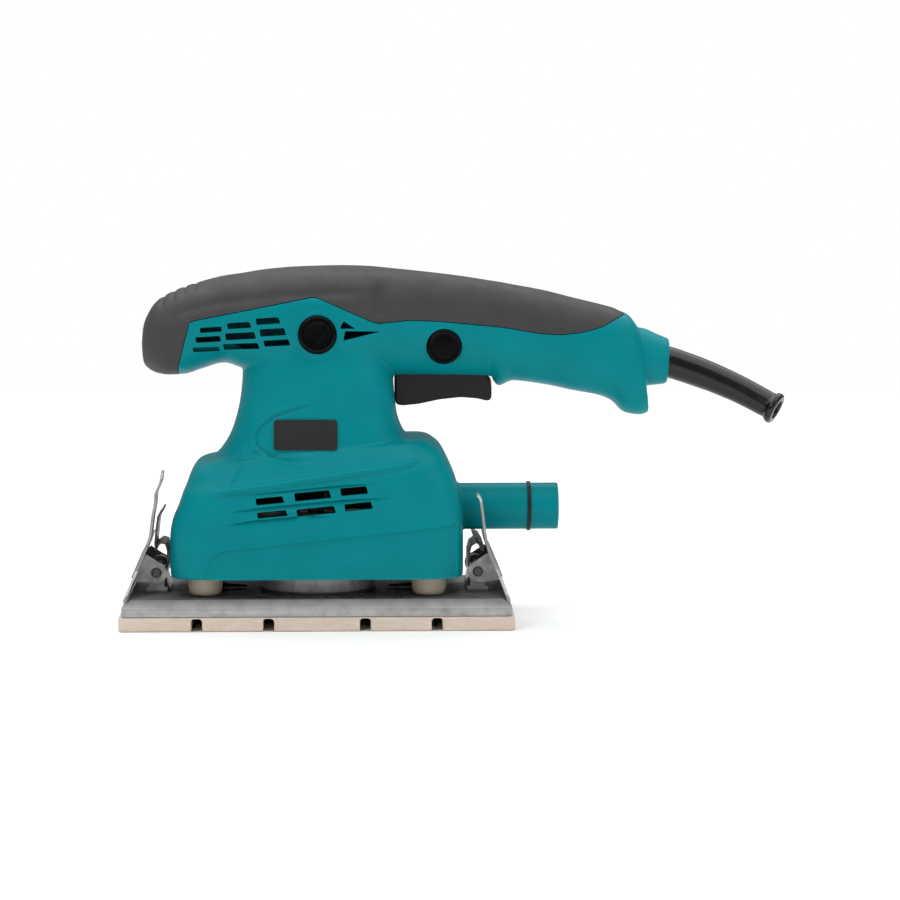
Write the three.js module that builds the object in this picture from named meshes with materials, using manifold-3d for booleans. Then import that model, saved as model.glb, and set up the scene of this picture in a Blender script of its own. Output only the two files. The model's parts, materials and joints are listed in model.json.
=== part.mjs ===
// Orbital finishing sander, third-sheet pad. Millimetres, +Z up, +X toward the rear handle.
import * as THREE from 'three';
import { mergeVertices } from 'three/examples/jsm/utils/BufferGeometryUtils.js';
import Module from 'manifold-3d';

const wasm = await Module();
wasm.setup();

// ---- driving dimensions ----
const GAP = 0.15;                 // half of the clearance at the parting plane
const WALL = 2.6;                 // plastic wall of the housing
const RUBBER = 2.0;               // thickness of the overmoulded grip
const RUBBER_GAP = 0.3;           // clearance between grip and plastic
const TOLERANCE = 0.08;           // surface detail finer than this is merged away
const SEEN_TOLERANCE = 0.12;      // the same for the outer housing skin
const HIDDEN_TOLERANCE = 0.4;     // and for its inner faces
const REACH = 70;                 // half length of cutters that pass right through the tool
const ORBIT = 0.8;                // eccentric offset: the pad moves on a circle 1.6 across
const MOTOR_X = -ORBIT;           // motor axis, so that the pad is centred on x = 0
const PAD = { length: 185, width: 93, height: 7, groove: 5, web: 1 };
const GROOVE_X = [-56, -22.5, 22.5, 56];
const PLATE = { bottom: 7.15, rim: 10.9, top: 14.7, length: 182, width: 93, chamfer: 3.6 };
const BOSS = { radius: 27.65, top: 27, bore: 13.1, floor: 16.5 };
const LEG = { x: 52.6, y: 27.2, bottom: 14.75, top: 37.6, radius: 8.3 };
const PIN = { x: 76, z: 24.3, radius: 2.3, half: 19.6 };
const EAR = { inner: 17, outer: 18.5, radius: 5 };
const LUG = { inner: 13.2, outer: 16.7, radius: 4.4, root: 13, foot: 17.2 };
const SPOUT = { z: 53.6, radius: 11, bore: 8.8, start: 60, end: 115, ring: 100.9 };
const BRUSH = { x: 0.5, z: 137.5, capRadius: 8.75, bossRadius: 10.5, seat: 25.6, face: 33.4 };
const LOCK = { x: 60, z: 131.2, radius: 8.1, stem: 4, face: 22.4, back: 20.6, stemEnd: 13.6, rim: 0.8 };
const TRIGGER = { front: 37.5, rear: 83.3, half: 8.6, play: 0.4 };
const CORE = { radius: 28, bore: 20.4, bottom: 80, top: 113, sides: 48 };
const SHAFT = { radius: 4, bore: 4.1, bottom: 31.4, top: 156 };
const FAN = { radius: 29, hub: 8, bottom: 55, plate: 2, hubTop: 70, bladeTop: 67.5, blades: 9 };
const BRACKET = {
  radius: 33, bore: 11.1, hub: 14.5, bottom: 44, top: 52, web: 2.5, hole: 4.2, holeCircle: 23.5,
};
// Housing screws: [x, z, depth of the head seat from the parting plane]
const SCREWS = [
  [-50, 127, 22], [33, 121, 24], [-56, 57, 37], [49, 72, 35], [100, 127, 15], [146, 119, 13],
];
const SCREW_BOSS = { radius: 4.2, extra: 2.5 };
const SCREW = { hole: 1.85, shank: 1.6, recess: 3.9, head: 3.5, driver: 4.4 };

// ---- materials ----
const LOOKS = {
  teal: [0x068390, 0.45, 0], rubber: [0x47474a, 0.8, 0], black: [0x141416, 0.35, 0],
  matteBlack: [0x1b1b1d, 0.6, 0], badge: [0x35373b, 0.4, 0], alloy: [0x8e8f90, 0.5, 1],
  zinc: [0xb9b9b6, 0.35, 1], spring: [0x1e1d1e, 0.4, 0.6], felt: [0xcbbba8, 0.95, 0],
  leg: [0xbdb09a, 0.75, 0], steel: [0x9a9da1, 0.3, 1], laminate: [0x6f7276, 0.5, 0.9],
  copper: [0xb0683a, 0.4, 0.9], brass: [0xc2a04e, 0.35, 1], carbon: [0x2b2b2d, 0.7, 0],
  fan: [0x26282b, 0.55, 0], film: [0xc8b23c, 0.5, 0],
};

function look(kind) {
  const [color, roughness, metalness] = LOOKS[kind];
  return new THREE.MeshStandardMaterial({ color, roughness, metalness });
}

// ---- solid helpers ----
function solid(geometry) {
  const bare = geometry.clone();
  bare.deleteAttribute('normal');
  bare.deleteAttribute('uv');
  const merged = mergeVertices(bare, 1e-4);
  return new wasm.Manifold(new wasm.Mesh({
    numProp: 3,
    vertProperties: new Float32Array(merged.attributes.position.array),
    triVerts: new Uint32Array(merged.index.array),
  }));
}

function surface(manifold) {
  const mesh = manifold.simplify(TOLERANCE).getMesh();
  const geometry = new THREE.BufferGeometry();
  geometry.setAttribute('position', new THREE.BufferAttribute(new Float32Array(mesh.vertProperties), 3));
  geometry.setIndex(new THREE.BufferAttribute(new Uint32Array(mesh.triVerts), 1));
  geometry.computeVertexNormals();
  return geometry;
}

function unite(...solids) {
  return solids.reduce((sum, item) => sum.add(item));
}

// Flat polygon in the XZ plane, extruded along Y between two depths.
function prismY(points, from, to) {
  const shape = new THREE.Shape(points.map(([x, z]) => new THREE.Vector2(x, z)));
  const geometry = new THREE.ExtrudeGeometry(shape, { depth: to - from, bevelEnabled: false });
  geometry.rotateX(Math.PI / 2);
  geometry.translate(0, to, 0);
  return solid(geometry);
}

// Flat polygon in the XY plane, extruded upward between two heights.
function prismZ(points, from, to) {
  const shape = new THREE.Shape(points.map(([x, y]) => new THREE.Vector2(x, y)));
  const geometry = new THREE.ExtrudeGeometry(shape, { depth: to - from, bevelEnabled: false });
  geometry.translate(0, 0, from);
  return solid(geometry);
}

// Flat polygon in the YZ plane, extruded along X between two stations.
function prismX(points, from, to) {
  const shape = new THREE.Shape(points.map(([y, z]) => new THREE.Vector2(y, z)));
  const geometry = new THREE.ExtrudeGeometry(shape, { depth: to - from, bevelEnabled: false });
  geometry.rotateY(Math.PI / 2);
  geometry.rotateX(Math.PI / 2);
  geometry.translate(from, 0, 0);
  return solid(geometry);
}

function box(x0, x1, y0, y1, z0, z1) {
  const geometry = new THREE.BoxGeometry(x1 - x0, y1 - y0, z1 - z0);
  geometry.translate((x0 + x1) / 2, (y0 + y1) / 2, (z0 + z1) / 2);
  return solid(geometry);
}

// Turned solid about a vertical axis; profile runs bottom axis point to top axis point.
function turned(profile, segments, x = 0, y = 0) {
  const geometry = new THREE.LatheGeometry(profile.map(([r, z]) => new THREE.Vector2(r, z)), segments);
  geometry.rotateX(Math.PI / 2);
  geometry.translate(x, y, 0);
  return solid(geometry);
}

function disc(radius, z0, z1, segments, x = 0, y = 0) {
  return turned([[0, z0], [radius, z0], [radius, z1], [0, z1]], segments, x, y);
}

function pipe(outer, inner, z0, z1, segments, x = 0, y = 0) {
  return turned([[inner, z0], [outer, z0], [outer, z1], [inner, z1], [inner, z0]], segments, x, y);
}

// Turned solid about an axis along +Y through (x, z); profile is [radius, y].
function turnedY(profile, segments, x, z) {
  return turned(profile, segments).rotate([-90, 0, 0]).translate([x, 0, z]);
}

function discY(radius, y0, y1, segments, x, z) {
  return turnedY([[0, y0], [radius, y0], [radius, y1], [0, y1]], segments, x, z);
}

function mirrored(manifold) {
  return manifold.mirror([0, 1, 0]);
}

// Skin over a stack of rings with equal point counts, closed with a fan at each end.
function loft(rings) {
  const count = rings[0].length;
  const position = rings.flat(2);
  const index = [];
  for (let r = 0; r + 1 < rings.length; r += 1) {
    for (let i = 0; i < count; i += 1) {
      const a = r * count + i;
      const b = r * count + (i + 1) % count;
      index.push(a, b, b + count, a, b + count, a + count);
    }
  }
  [0, rings.length - 1].forEach((r, end) => {
    const centre = [0, 1, 2].map((k) => rings[r].reduce((sum, p) => sum + p[k], 0) / count);
    const hub = position.length / 3; // index of the centre point
    position.push(...centre);
    for (let i = 0; i < count; i += 1) {
      const a = r * count + i;
      const b = r * count + (i + 1) % count;
      index.push(...(end === 0 ? [hub, b, a] : [hub, a, b]));
    }
  });
  const geometry = new THREE.BufferGeometry();
  geometry.setAttribute('position', new THREE.BufferAttribute(new Float32Array(position), 3));
  geometry.setIndex(index);
  return solid(geometry);
}

function superPoint(angle, halfA, halfB, power) {
  const c = Math.cos(angle);
  const s = Math.sin(angle);
  return [
    halfA * Math.sign(c) * Math.abs(c) ** (2 / power),
    halfB * Math.sign(s) * Math.abs(s) ** (2 / power),
  ];
}

// ---- housing shape ----
// Skirt and neck: [height at x = 0, slope along x, left x, right x, half width, corner power]
const BODY_POINTS = 32;
const BODY_RINGS = [
  [23.5, 0, -69.1, 68.9, 41.8, 7], [30, 0, -69.4, 69, 42, 7], [42, 0, -69.3, 69, 42, 7],
  [51, 0.02, -68.2, 68.8, 41.9, 7], [60, 0.06, -65.6, 67, 41.7, 6.5],
  [69.5, 0.12, -63.6, 62, 41.2, 6], [74.5, 0.13, -61.6, 59.2, 39, 5.4],
  [79.3, 0.11, -59.2, 56, 36.4, 5], [82.3, 0.104, -55.8, 51.8, 34.6, 4.6],
  [83.4, 0.104, -49.5, 43.5, 33.4, 4.2], [89.5, 0.1, -43.4, 39.6, 32.8, 4],
  [96.5, 0.08, -39.6, 37.9, 32.4, 3.8], [105, 0.02, -36.7, 37.1, 32.1, 3.6],
  [114, 0, -35.4, 36.3, 31.8, 3.4], [122, 0, -35, 36, 31.2, 3.2], [134, 0, -33, 34, 29.4, 3],
];

function bodyRing([height, slope, left, right, half, power], inset) {
  const middle = (left + right) / 2;
  const length = (right - left) / 2 - inset;
  return Array.from({ length: BODY_POINTS }, (_, i) => {
    const [dx, y] = superPoint((2 * Math.PI * (i + 0.5)) / BODY_POINTS, length, half - inset, power);
    const x = middle + dx;
    return [x, y, height + slope * x];
  });
}

function bodySolid(inset, drop) {
  const rings = BODY_RINGS.map((ring) => bodyRing(ring, inset));
  if (inset > 0) {
    rings.forEach((ring) => ring.forEach((p) => { p[2] -= p[2] > 60 ? inset * 0.6 : 0; }));
    rings.unshift(rings[0].map(([x, y, z]) => [x, y, z - drop]));
  }
  return loft(rings).simplify(inset > 0 ? HIDDEN_TOLERANCE : SEEN_TOLERANCE);
}

// Grip and handle: [x, top z, bottom z, half width, power, lean of the section]
const TOP_POINTS = 28;
const TOP_RINGS = [
  [-82.7, 135, 128.5, 7, 2.2, 0], [-81.9, 141.2, 122.6, 14.5, 2.2, 0],
  [-79.6, 146.8, 119.9, 19, 2.2, 0], [-75.6, 152.2, 117.9, 22.6, 2.3, 0],
  [-70.3, 155.6, 117.1, 24.8, 2.3, 0], [-62.8, 158.8, 117.5, 26.6, 2.4, 0],
  [-54, 161.5, 120.2, 27.8, 2.4, 0], [-43.8, 164, 122.9, 28.8, 2.5, 0],
  [-36, 165.1, 120.6, 29.6, 2.6, 0], [-24.8, 166.9, 117, 30.6, 2.7, 0],
  [-8, 168.3, 116, 31.2, 2.8, 0], [12, 168.8, 116, 31, 2.8, 0],
  [24, 168.5, 116.3, 29.6, 2.7, 0], [34, 167.6, 116.6, 26.6, 2.6, 0],
  [44, 166.6, 116.6, 23.6, 2.6, 0], [56, 165.3, 116.4, 21.9, 2.6, 0],
  [70, 163.5, 116.2, 21.2, 2.6, 0], [82, 161.6, 115.6, 20.8, 2.6, 0],
  [86.5, 160.9, 111.5, 20.6, 2.6, 0], [93, 159.7, 114, 20.4, 2.6, 0],
  [108, 156.9, 112.2, 19.8, 2.6, 0], [123, 153.1, 109, 19.4, 2.6, 0],
  [133, 150.7, 107.2, 19.2, 2.6, 0], [140.5, 148.7, 104.2, 19, 2.7, 0],
  [145.5, 147.2, 98.6, 18.7, 2.8, -0.06], [151, 145.4, 97.5, 17.6, 2.9, -0.12],
  [155, 140.5, 98.8, 15.6, 2.9, -0.14],
];

function topRing([x, top, bottom, half, power, lean], inset) {
  const middle = (top + bottom) / 2;
  const height = (top - bottom) / 2 - inset;
  return Array.from({ length: TOP_POINTS }, (_, i) => {
    const [y, dz] = superPoint((2 * Math.PI * (i + 0.5)) / TOP_POINTS, half - inset, height, power);
    return [x + lean * (dz + middle - 120), y, middle + dz];
  });
}

function topSolid(inset) {
  const first = TOP_RINGS[0][0] + inset;
  const last = TOP_RINGS[TOP_RINGS.length - 1][0] - inset;
  const chosen = TOP_RINGS.filter((_, i) => inset === 0 || i % 2 === 0);
  const kept = chosen.map(([x, ...rest]) => (
    [Math.min(Math.max(x, first + (x - TOP_RINGS[0][0]) * 0.6), last), ...rest]
  ));
  const rings = kept.map((ring) => topRing(ring, Math.min(inset, (ring[1] - ring[2]) / 2 - 0.6)));
  return loft(rings).simplify(inset > RUBBER + RUBBER_GAP ? HIDDEN_TOLERANCE : SEEN_TOLERANCE);
}

// Lower edge of the rubber grip as seen from the side; everything above it is rubber.
const GRIP_EDGE = [
  [-66.6, 100], [-65.4, 121], [-59.9, 141.4], [-59.2, 143], [-57.6, 144], [-2.6, 155], [-0.6, 155.1],
  [1.7, 154.4], [26, 143.6], [29.5, 142.7], [35.9, 143.3], [44.4, 144], [58.7, 143.3], [87.3, 140.5],
  [106.3, 137.3], [115.8, 136.9], [125.4, 137.9], [134.9, 140.5], [141.5, 144], [147, 146.6], [170, 150],
];

function gripRegion(shift, depth) {
  const lower = GRIP_EDGE.map(([x, z], i) => (i < 3 ? [x + shift, z] : [x, z - shift]));
  return prismY([[-120, 100], ...lower, [170, 220], [-120, 220]], -depth, depth);
}

function collarSolid(inset) {
  const stations = [[146, 139.5, 110.5, 14.5], [154, 138.8, 111, 14], [161, 136, 111.6, 12.6],
    [167, 133.6, 112.2, 11]];
  return loft(stations.map(([x, top, bottom, half]) => topRing([x, top, bottom, half, 2.3, 0.06], inset)));
}

function spoutSolid(radius, from, to) {
  return disc(radius, from, to, 32).rotate([0, 90, 0]).translate([0, 0, SPOUT.z]);
}

// Air slots: each is a four-cornered opening given by its side view corners.
function slot(left, right, bottom, top, rise, slant) {
  const lift = (x) => (x - left) * rise;
  return [
    [left, bottom], [right, bottom + lift(right)],
    [right - slant, top + lift(right)], [left - slant * 0.5, top],
  ];
}

const UPPER_SLOTS = [
  slot(-54.2, -43.8, 138.2, 140.6, 0.07, 0.6), slot(-41.2, -30.2, 140, 142.8, 0.07, 1),
  slot(-27.8, -16.6, 142, 145, 0.07, 1), slot(-56.2, -44.4, 133.5, 136.2, 0.06, 0.6),
  slot(-42.2, -28, 134.8, 138, 0.06, 1), slot(-26, -14, 136.6, 140, 0.06, 1),
  slot(-57.6, -45, 129.1, 131.3, 0.04, 0.6), slot(-43.2, -26.4, 130.2, 133, 0.04, 1),
  slot(-24.2, -12, 131.9, 134.8, 0.05, 1),
  [[11, 140.2], [18.2, 140.2], [12.6, 144]], [[12.6, 134.6], [30, 138.8], [13.4, 139.2]],
];

const LOWER_SLOTS = [
  slot(-28, -15, 58.6, 61.8, 0.09, 1), slot(-10, 6.8, 60.4, 64.2, 0.09, 1),
  slot(11.4, 24, 62.8, 66.4, 0.09, 1), slot(-27.4, -13.4, 52.4, 55.2, 0.09, 1),
  slot(-9, 9, 53.2, 56.6, 0.1, 1), slot(13.3, 26.2, 55.6, 59, 0.1, 1),
];

function slotCutters() {
  const upper = UPPER_SLOTS.map((points) => prismY(points, 21, REACH));
  const lower = LOWER_SLOTS.map((points) => prismY(points, 34, REACH));
  return unite(...upper, ...lower);
}

// Webs that hold the motor: plates between the wall and the round parts.
// Each is [x from, x to, bottom, top, radius of the seat].
const MOTOR_WEBS = [
  [-60, 60, 96, 100, CORE.radius], [-REACH, REACH, 46, 49, BRACKET.radius],
  [-16, 15, 147.6, 153, 8],
];
const SEAT_SIDES = 20;

function motorWebs() {
  return unite(...MOTOR_WEBS.map(([x0, x1, z0, z1, seat]) => {
    const radius = seat / Math.cos(Math.PI / SEAT_SIDES) + GAP;
    return box(x0, x1, -REACH, REACH, z0, z1).subtract(disc(radius, z0 - 1, z1 + 1, SEAT_SIDES, MOTOR_X));
  }));
}

// Stiffening webs at the parting plane, behind the air slots: [x from, x to, bottom].
const CENTRE_WEBS = [[-62, -18, 121], [-19, -13, 126], [12.5, 36, 126]];
const CENTRE_WEB = { half: 2.2, top: 160 };

function centreWebs() {
  const { half, top } = CENTRE_WEB;
  return unite(...CENTRE_WEBS.map(([x0, x1, z0]) => box(x0, x1, -half, half, z0, top)));
}

// Shelves over the legs: [x from, x to].
const SHELVES = [[-67.5, -41], [41, 67.5]];
const SHELF = { inner: 17, outer: 40.4, clear: 0.6, thick: 2.6 };

function legShelves() {
  const bottom = LEG.top + SHELF.clear;
  return unite(...SHELVES.map(([x0, x1]) => (
    box(x0, x1, SHELF.inner, SHELF.outer, bottom, bottom + SHELF.thick)
  )));
}

function dustDuct() {
  return box(54.6, 68, -12.6, 12.6, 47, 67).subtract(box(57, 80, -10.2, 10.2, 40, 64.6));
}

function screwBosses() {
  return unite(...SCREWS.map(([x, z, head]) => {
    const reach = head + SCREW_BOSS.extra;
    return discY(SCREW_BOSS.radius, -reach, reach, 8, x, z);
  }));
}

function screwRecesses() {
  return unite(...SCREWS.map(([x, z, head]) => turnedY([
    [0, -head * 0.5], [SCREW.hole, -head * 0.5], [SCREW.hole, head], [SCREW.recess, head],
    [SCREW.recess, REACH], [0, REACH],
  ], 8, x, z)));
}

function brushPassage() {
  return unite(
    discY(BRUSH.capRadius + 0.3, 25.2, REACH, 18, BRUSH.x, BRUSH.z),
    discY(6.5, 11, REACH, 12, BRUSH.x, BRUSH.z),
  );
}

function brushBoss() {
  return discY(BRUSH.bossRadius, 21.4, 31.6, 22, BRUSH.x, BRUSH.z);
}

function housingShell() {
  const topOuter = topSolid(0);
  const topCore = topSolid(RUBBER + RUBBER_GAP);
  const bodyInner = bodySolid(WALL, 12);
  const topInner = topSolid(RUBBER + RUBBER_GAP + WALL);
  const inner = unite(bodyInner.subtract(box(-90, 90, -REACH, REACH, 126, 150)), topInner);
  const spout = spoutSolid(SPOUT.radius, SPOUT.start, SPOUT.end);
  let shell = unite(bodySolid(0, 0), topOuter, collarSolid(0), spout);
  shell = shell.subtract(gripRegion(RUBBER_GAP, REACH).subtract(topCore));
  shell = shell.subtract(inner);
  const middle = unite(bodySolid(WALL / 2, 1), topSolid(RUBBER + RUBBER_GAP + WALL / 2));
  const inside = unite(
    motorWebs(), centreWebs(), dustDuct(), legShelves(), mirrored(legShelves()),
    brushBoss(), mirrored(brushBoss()), screwBosses(),
  );
  shell = unite(shell, inside.intersect(middle), brushBoss(), mirrored(brushBoss()));
  const cuts = unite(
    slotCutters(), mirrored(slotCutters()), brushPassage(), mirrored(brushPassage()),
    spoutSolid(SPOUT.bore, SPOUT.start - 2, SPOUT.end + 5), screwRecesses(),
    collarBore(), triggerSlot(), lockHole(),
  );
  return shell.subtract(cuts);
}

function collarBore() {
  const bores = unite(disc(8.1, 140, 190, 18), disc(9.6, 140, 152, 18));
  return bores.rotate([0, 90, 0]).translate([0, 0, 123]);
}

function triggerSlot() {
  const { front, rear, half, play } = TRIGGER;
  return box(front - play, rear + play + 0.2, -half - play, half + play, 96, 124);
}

function lockHole() {
  return unite(
    discY(LOCK.radius + 0.4, -REACH, -16.6, 18, LOCK.x, LOCK.z),
    discY(LOCK.stem + 0.4, -20, -10, 12, LOCK.x, LOCK.z),
  );
}

function nearHalf(shape) {
  return shape.intersect(box(-200, 260, -200, -GAP, -50, 260));
}

function farHalf(shape) {
  return shape.intersect(box(-200, 260, GAP, 200, -50, 260));
}

function gripShell() {
  const skin = topSolid(0).subtract(topSolid(RUBBER));
  return skin.intersect(gripRegion(0, REACH));
}

function largest(manifold) {
  return manifold.decompose().reduce((best, item) => (item.volume() > best.volume() ? item : best));
}

// ---- fittings on the housing ----
function badge(side) {
  const shape = new THREE.Shape();
  const [left, bottom, width, height, r] = [-20, 83.6, 29.7, 14.2, 1.5];
  shape.absarc(left + width - r, bottom + height - r, r, 0, Math.PI / 2);
  shape.absarc(left + r, bottom + height - r, r, Math.PI / 2, Math.PI);
  shape.absarc(left + r, bottom + r, r, Math.PI, Math.PI * 1.5);
  shape.absarc(left + width - r, bottom + r, r, Math.PI * 1.5, Math.PI * 2);
  const points = shape.getPoints(4).map((p) => [p.x, p.y]);
  const shifted = bodySolid(-0.7, 0).intersect(prismY(points, side > 0 ? 20 : -60, side > 0 ? 60 : -20));
  return shifted.subtract(bodySolid(-0.1, 0));
}

function brushCap() {
  const { capRadius, seat, face } = BRUSH;
  const body = turnedY([
    [0, seat], [capRadius, seat], [capRadius, face - 1], [capRadius - 0.8, face],
    [7.2, face], [6.8, face - 0.9], [0, face - 0.9],
  ], 32, BRUSH.x, BRUSH.z);
  const cut = box(-6, 6, face - 2.2, face + 1, -1, 1).rotate([0, 45, 0]);
  return body.subtract(cut.translate([BRUSH.x, 0, BRUSH.z]));
}

function brushHolder() {
  const tube = box(-5.4, 5.4, 12.4, 25.2, -6, 6).subtract(box(-3.6, 3.6, 12, 26, -4.6, 4.6));
  return tube.intersect(discY(6.1, 12, 26, 24, 0, 0)).translate([BRUSH.x, 0, BRUSH.z]);
}

function carbonBrush() {
  return box(-3.4, 3.4, 11.4, 20, -4, 4).translate([BRUSH.x, 0, BRUSH.z]);
}

// Closed wire following a path of points.
function wire(points, radius, sides) {
  const curve = new THREE.CatmullRomCurve3(points.map((p) => new THREE.Vector3(...p)));
  const steps = points.length;
  const frames = curve.computeFrenetFrames(steps, false);
  const rings = Array.from({ length: steps + 1 }, (_, k) => {
    const centre = curve.getPointAt(k / steps);
    return Array.from({ length: sides }, (_unused, i) => {
      const angle = (2 * Math.PI * i) / sides;
      const p = centre.clone()
        .addScaledVector(frames.normals[k], radius * Math.cos(angle))
        .addScaledVector(frames.binormals[k], radius * Math.sin(angle));
      return [p.x, p.y, p.z];
    });
  });
  return loft(rings);
}

function coil(radius, length, turns, gauge) {
  const perTurn = 8;
  const points = Array.from({ length: turns * perTurn + 1 }, (_, i) => {
    const angle = (2 * Math.PI * i) / perTurn;
    return [radius * Math.cos(angle), radius * Math.sin(angle), (length * i) / (turns * perTurn)];
  });
  return wire(points, gauge, 4);
}

function spoutRing() {
  const ring = turned([
    [SPOUT.radius + 0.2, -0.9], [11.9, -0.8], [11.9, 0.8], [SPOUT.radius + 0.2, 0.9],
    [SPOUT.radius + 0.2, -0.9],
  ], 24);
  return ring.rotate([0, 90, 0]).translate([SPOUT.ring, 0, SPOUT.z]);
}

// Bend relief of the cord inlet: a hollow tapered sleeve that droops and turns to the near side.
const GUARD_PATH = [
  [150, 0, 123], [158, 0, 123], [166, 0, 122.8], [176, -0.6, 119.8], [188, -2.2, 115.4],
  [200, -5, 110.2], [209, -8, 105.6], [218.6, -12, 100.4],
];

function guardSolid(radii, endReach) {
  const curve = new THREE.CatmullRomCurve3(GUARD_PATH.map((p) => new THREE.Vector3(...p)));
  const sides = 14;
  const rings = radii.map(([t, radius]) => {
    const u = Math.min(Math.max(t, 0), 1);
    const tangent = curve.getTangentAt(u);
    const beyond = t < 0 || t > 1 ? endReach * Math.sign(t) : 0;
    const centre = curve.getPointAt(u).addScaledVector(tangent, beyond);
    const side = new THREE.Vector3(0, 1, 0).cross(tangent).normalize();
    const up = tangent.clone().cross(side);
    return Array.from({ length: sides }, (_, i) => {
      const angle = (2 * Math.PI * i) / sides;
      const p = centre.clone()
        .addScaledVector(side, radius * Math.cos(angle))
        .addScaledVector(up, radius * Math.sin(angle));
      return [p.x, p.y, p.z];
    });
  });
  return loft(rings);
}

function cordGuard() {
  const outer = [[0, 9], [0.025, 9], [0.027, 7.5], [0.2, 7.5], [0.3, 7.3], [0.4, 7.2], [0.5, 7],
    [0.6, 6.8], [0.7, 6.6], [0.8, 6.45], [0.9, 6.35], [0.945, 6.3], [0.955, 7.4], [0.975, 7.7],
    [0.992, 7.7], [1, 7.3]];
  const steps = 10;
  const bore = 4.5;
  const along = Array.from({ length: steps + 1 }, (_, i) => [i / steps, bore]);
  const inner = [[-1, bore], ...along, [1.01, bore]];
  return guardSolid(outer, 0).subtract(guardSolid(inner, 3));
}

// Side view of the trigger, from its front top corner round to the rear.
const TRIGGER_SIDE = [
  [37.9, 121.5], [37.9, 106], [39, 102.6], [42, 101.6], [48, 102.4], [58, 105], [68, 106.2],
  [76, 105.6], [81.2, 104.2], [82.8, 105.4], [83, 110], [82.6, 115.2], [80, 118], [80, 121.5],
];

function triggerSolid() {
  return prismY(TRIGGER_SIDE, -TRIGGER.half, TRIGGER.half);
}

function lockButton() {
  return unite(
    turnedY([
      [0, -LOCK.face], [LOCK.radius - LOCK.rim, -LOCK.face], [LOCK.radius, -LOCK.face + LOCK.rim],
      [LOCK.radius, -LOCK.back], [0, -LOCK.back],
    ], 28, LOCK.x, LOCK.z),
    discY(LOCK.stem, -LOCK.back - 0.4, -LOCK.stemEnd, 20, LOCK.x, LOCK.z),
  );
}

function switchBody() {
  const plunger = box(44, 56, -8, 8, 130, 134.5).subtract(box(40, 90, -30, -7, 120, 134.2));
  return unite(box(41, 82, -9.5, 9.5, 134, 152), plunger);
}

function housingScrew(x, z, head) {
  const half = SCREW.driver / 2;
  const blade = box(-half, half, head + 1.4, head + 4, -0.4, 0.4);
  const driver = unite(blade, blade.rotate([0, 90, 0]));
  const tip = -head * 0.4;
  return turnedY([
    [0, tip], [SCREW.shank, tip + 1], [SCREW.shank, head + 0.1], [SCREW.head, head + 0.1],
    [SCREW.head, head + 1.4], [2.6, head + 2.2], [0, head + 2.5],
  ], 10, x, z).subtract(driver.translate([x, 0, z]));
}

// ---- motor ----
// Pole shoes of the field: half length, middle distance from the axis, half thickness, bore radius.
const POLE = { half: 10, middle: 20.2, thick: 1.6, bore: 19 };

function fieldCore() {
  const { radius, bore, bottom, top, sides } = CORE;
  const ring = pipe(radius, bore, bottom, top, sides, MOTOR_X);
  const shoe = box(-POLE.half, POLE.half, POLE.middle - POLE.thick, POLE.middle + POLE.thick, bottom, top);
  const near = shoe.translate([MOTOR_X, 0, 0]);
  return unite(ring, near, mirrored(near)).subtract(disc(POLE.bore, bottom - 1, top + 1, sides, MOTOR_X));
}

function fieldCoil(z0, z1) {
  return turned([
    [20, z0], [25.4, z0], [26.4, z0 + 1], [26.4, z1 - 1], [25.4, z1], [20, z1], [20, z0],
  ], 28, MOTOR_X);
}

function armatureCore() {
  const slots = 12;
  let core = pipe(18.4, SHAFT.bore, CORE.bottom + 1, CORE.top - 1, CORE.sides, MOTOR_X);
  for (let i = 0; i < slots; i += 1) {
    const cut = box(13, 20, -0.9, 0.9, CORE.bottom - 1, CORE.top + 1).rotate([0, 0, (360 * i) / slots]);
    core = core.subtract(cut.translate([MOTOR_X, 0, 0]));
  }
  return core;
}

function winding(z0, z1) {
  return turned([
    [5, z0], [13, z0], [16.2, z0 + 1.6], [16.6, z1 - 1.6], [14.6, z1], [5, z1], [5, z0],
  ], 28, MOTOR_X);
}

function commutator() {
  const bars = 12;
  let drum = pipe(11, SHAFT.bore, 124.4, 145.6, 24, MOTOR_X);
  for (let i = 0; i < bars; i += 1) {
    const cut = box(10.3, 12, -0.25, 0.25, 126.4, 146).rotate([0, 0, (360 * (i + 0.5)) / bars]);
    drum = drum.subtract(cut.translate([MOTOR_X, 0, 0]));
  }
  return drum;
}

function coolingFan() {
  const { radius, hub, bottom, plate, hubTop, bladeTop, blades } = FAN;
  const hubTube = pipe(hub, SHAFT.bore, bottom, hubTop, 18, MOTOR_X);
  let fan = unite(hubTube, pipe(radius, SHAFT.bore, bottom, bottom + plate, 36, MOTOR_X));
  const blade = box(hub - 1, radius - 0.4, -0.8, 0.8, bottom + 1, bladeTop);
  for (let i = 0; i < blades; i += 1) {
    fan = fan.add(blade.rotate([0, 0, (360 * i) / blades]).translate([MOTOR_X, 0, 0]));
  }
  return fan.subtract(disc(SHAFT.bore, bottom - 5, hubTop + 5, 18, MOTOR_X));
}

function eccentric() {
  const pin = disc(6, 17.6, 30, 28);
  const hub = disc(10, 29, 41, 28, MOTOR_X);
  const weight = disc(21, 29, 38, 36, MOTOR_X).intersect(box(-40, MOTOR_X, -30, 30, 20, 50));
  return unite(pin, hub, weight).subtract(disc(SHAFT.bore, 31, 50, 24, MOTOR_X));
}

function bearingBracket() {
  const x = MOTOR_X;
  const { radius, bore, hub, bottom, top, web, hole, holeCircle } = BRACKET;
  const disk = pipe(radius, bore, bottom + web, top - web, 28, x);
  let plate = unite(disk, pipe(hub, bore, bottom, top, 28, x));
  const drill = disc(hole, bottom - 4, top + 8, 8).translate([holeCircle, 0, 0]);
  for (let i = 0; i < 4; i += 1) {
    plate = plate.subtract(drill.rotate([0, 0, 90 * i + 45]).translate([x, 0, 0]));
  }
  return plate;
}

function bearing(outer, inner, z0, z1, x) {
  return pipe(outer, inner, z0, z1, 28, x);
}

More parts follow.
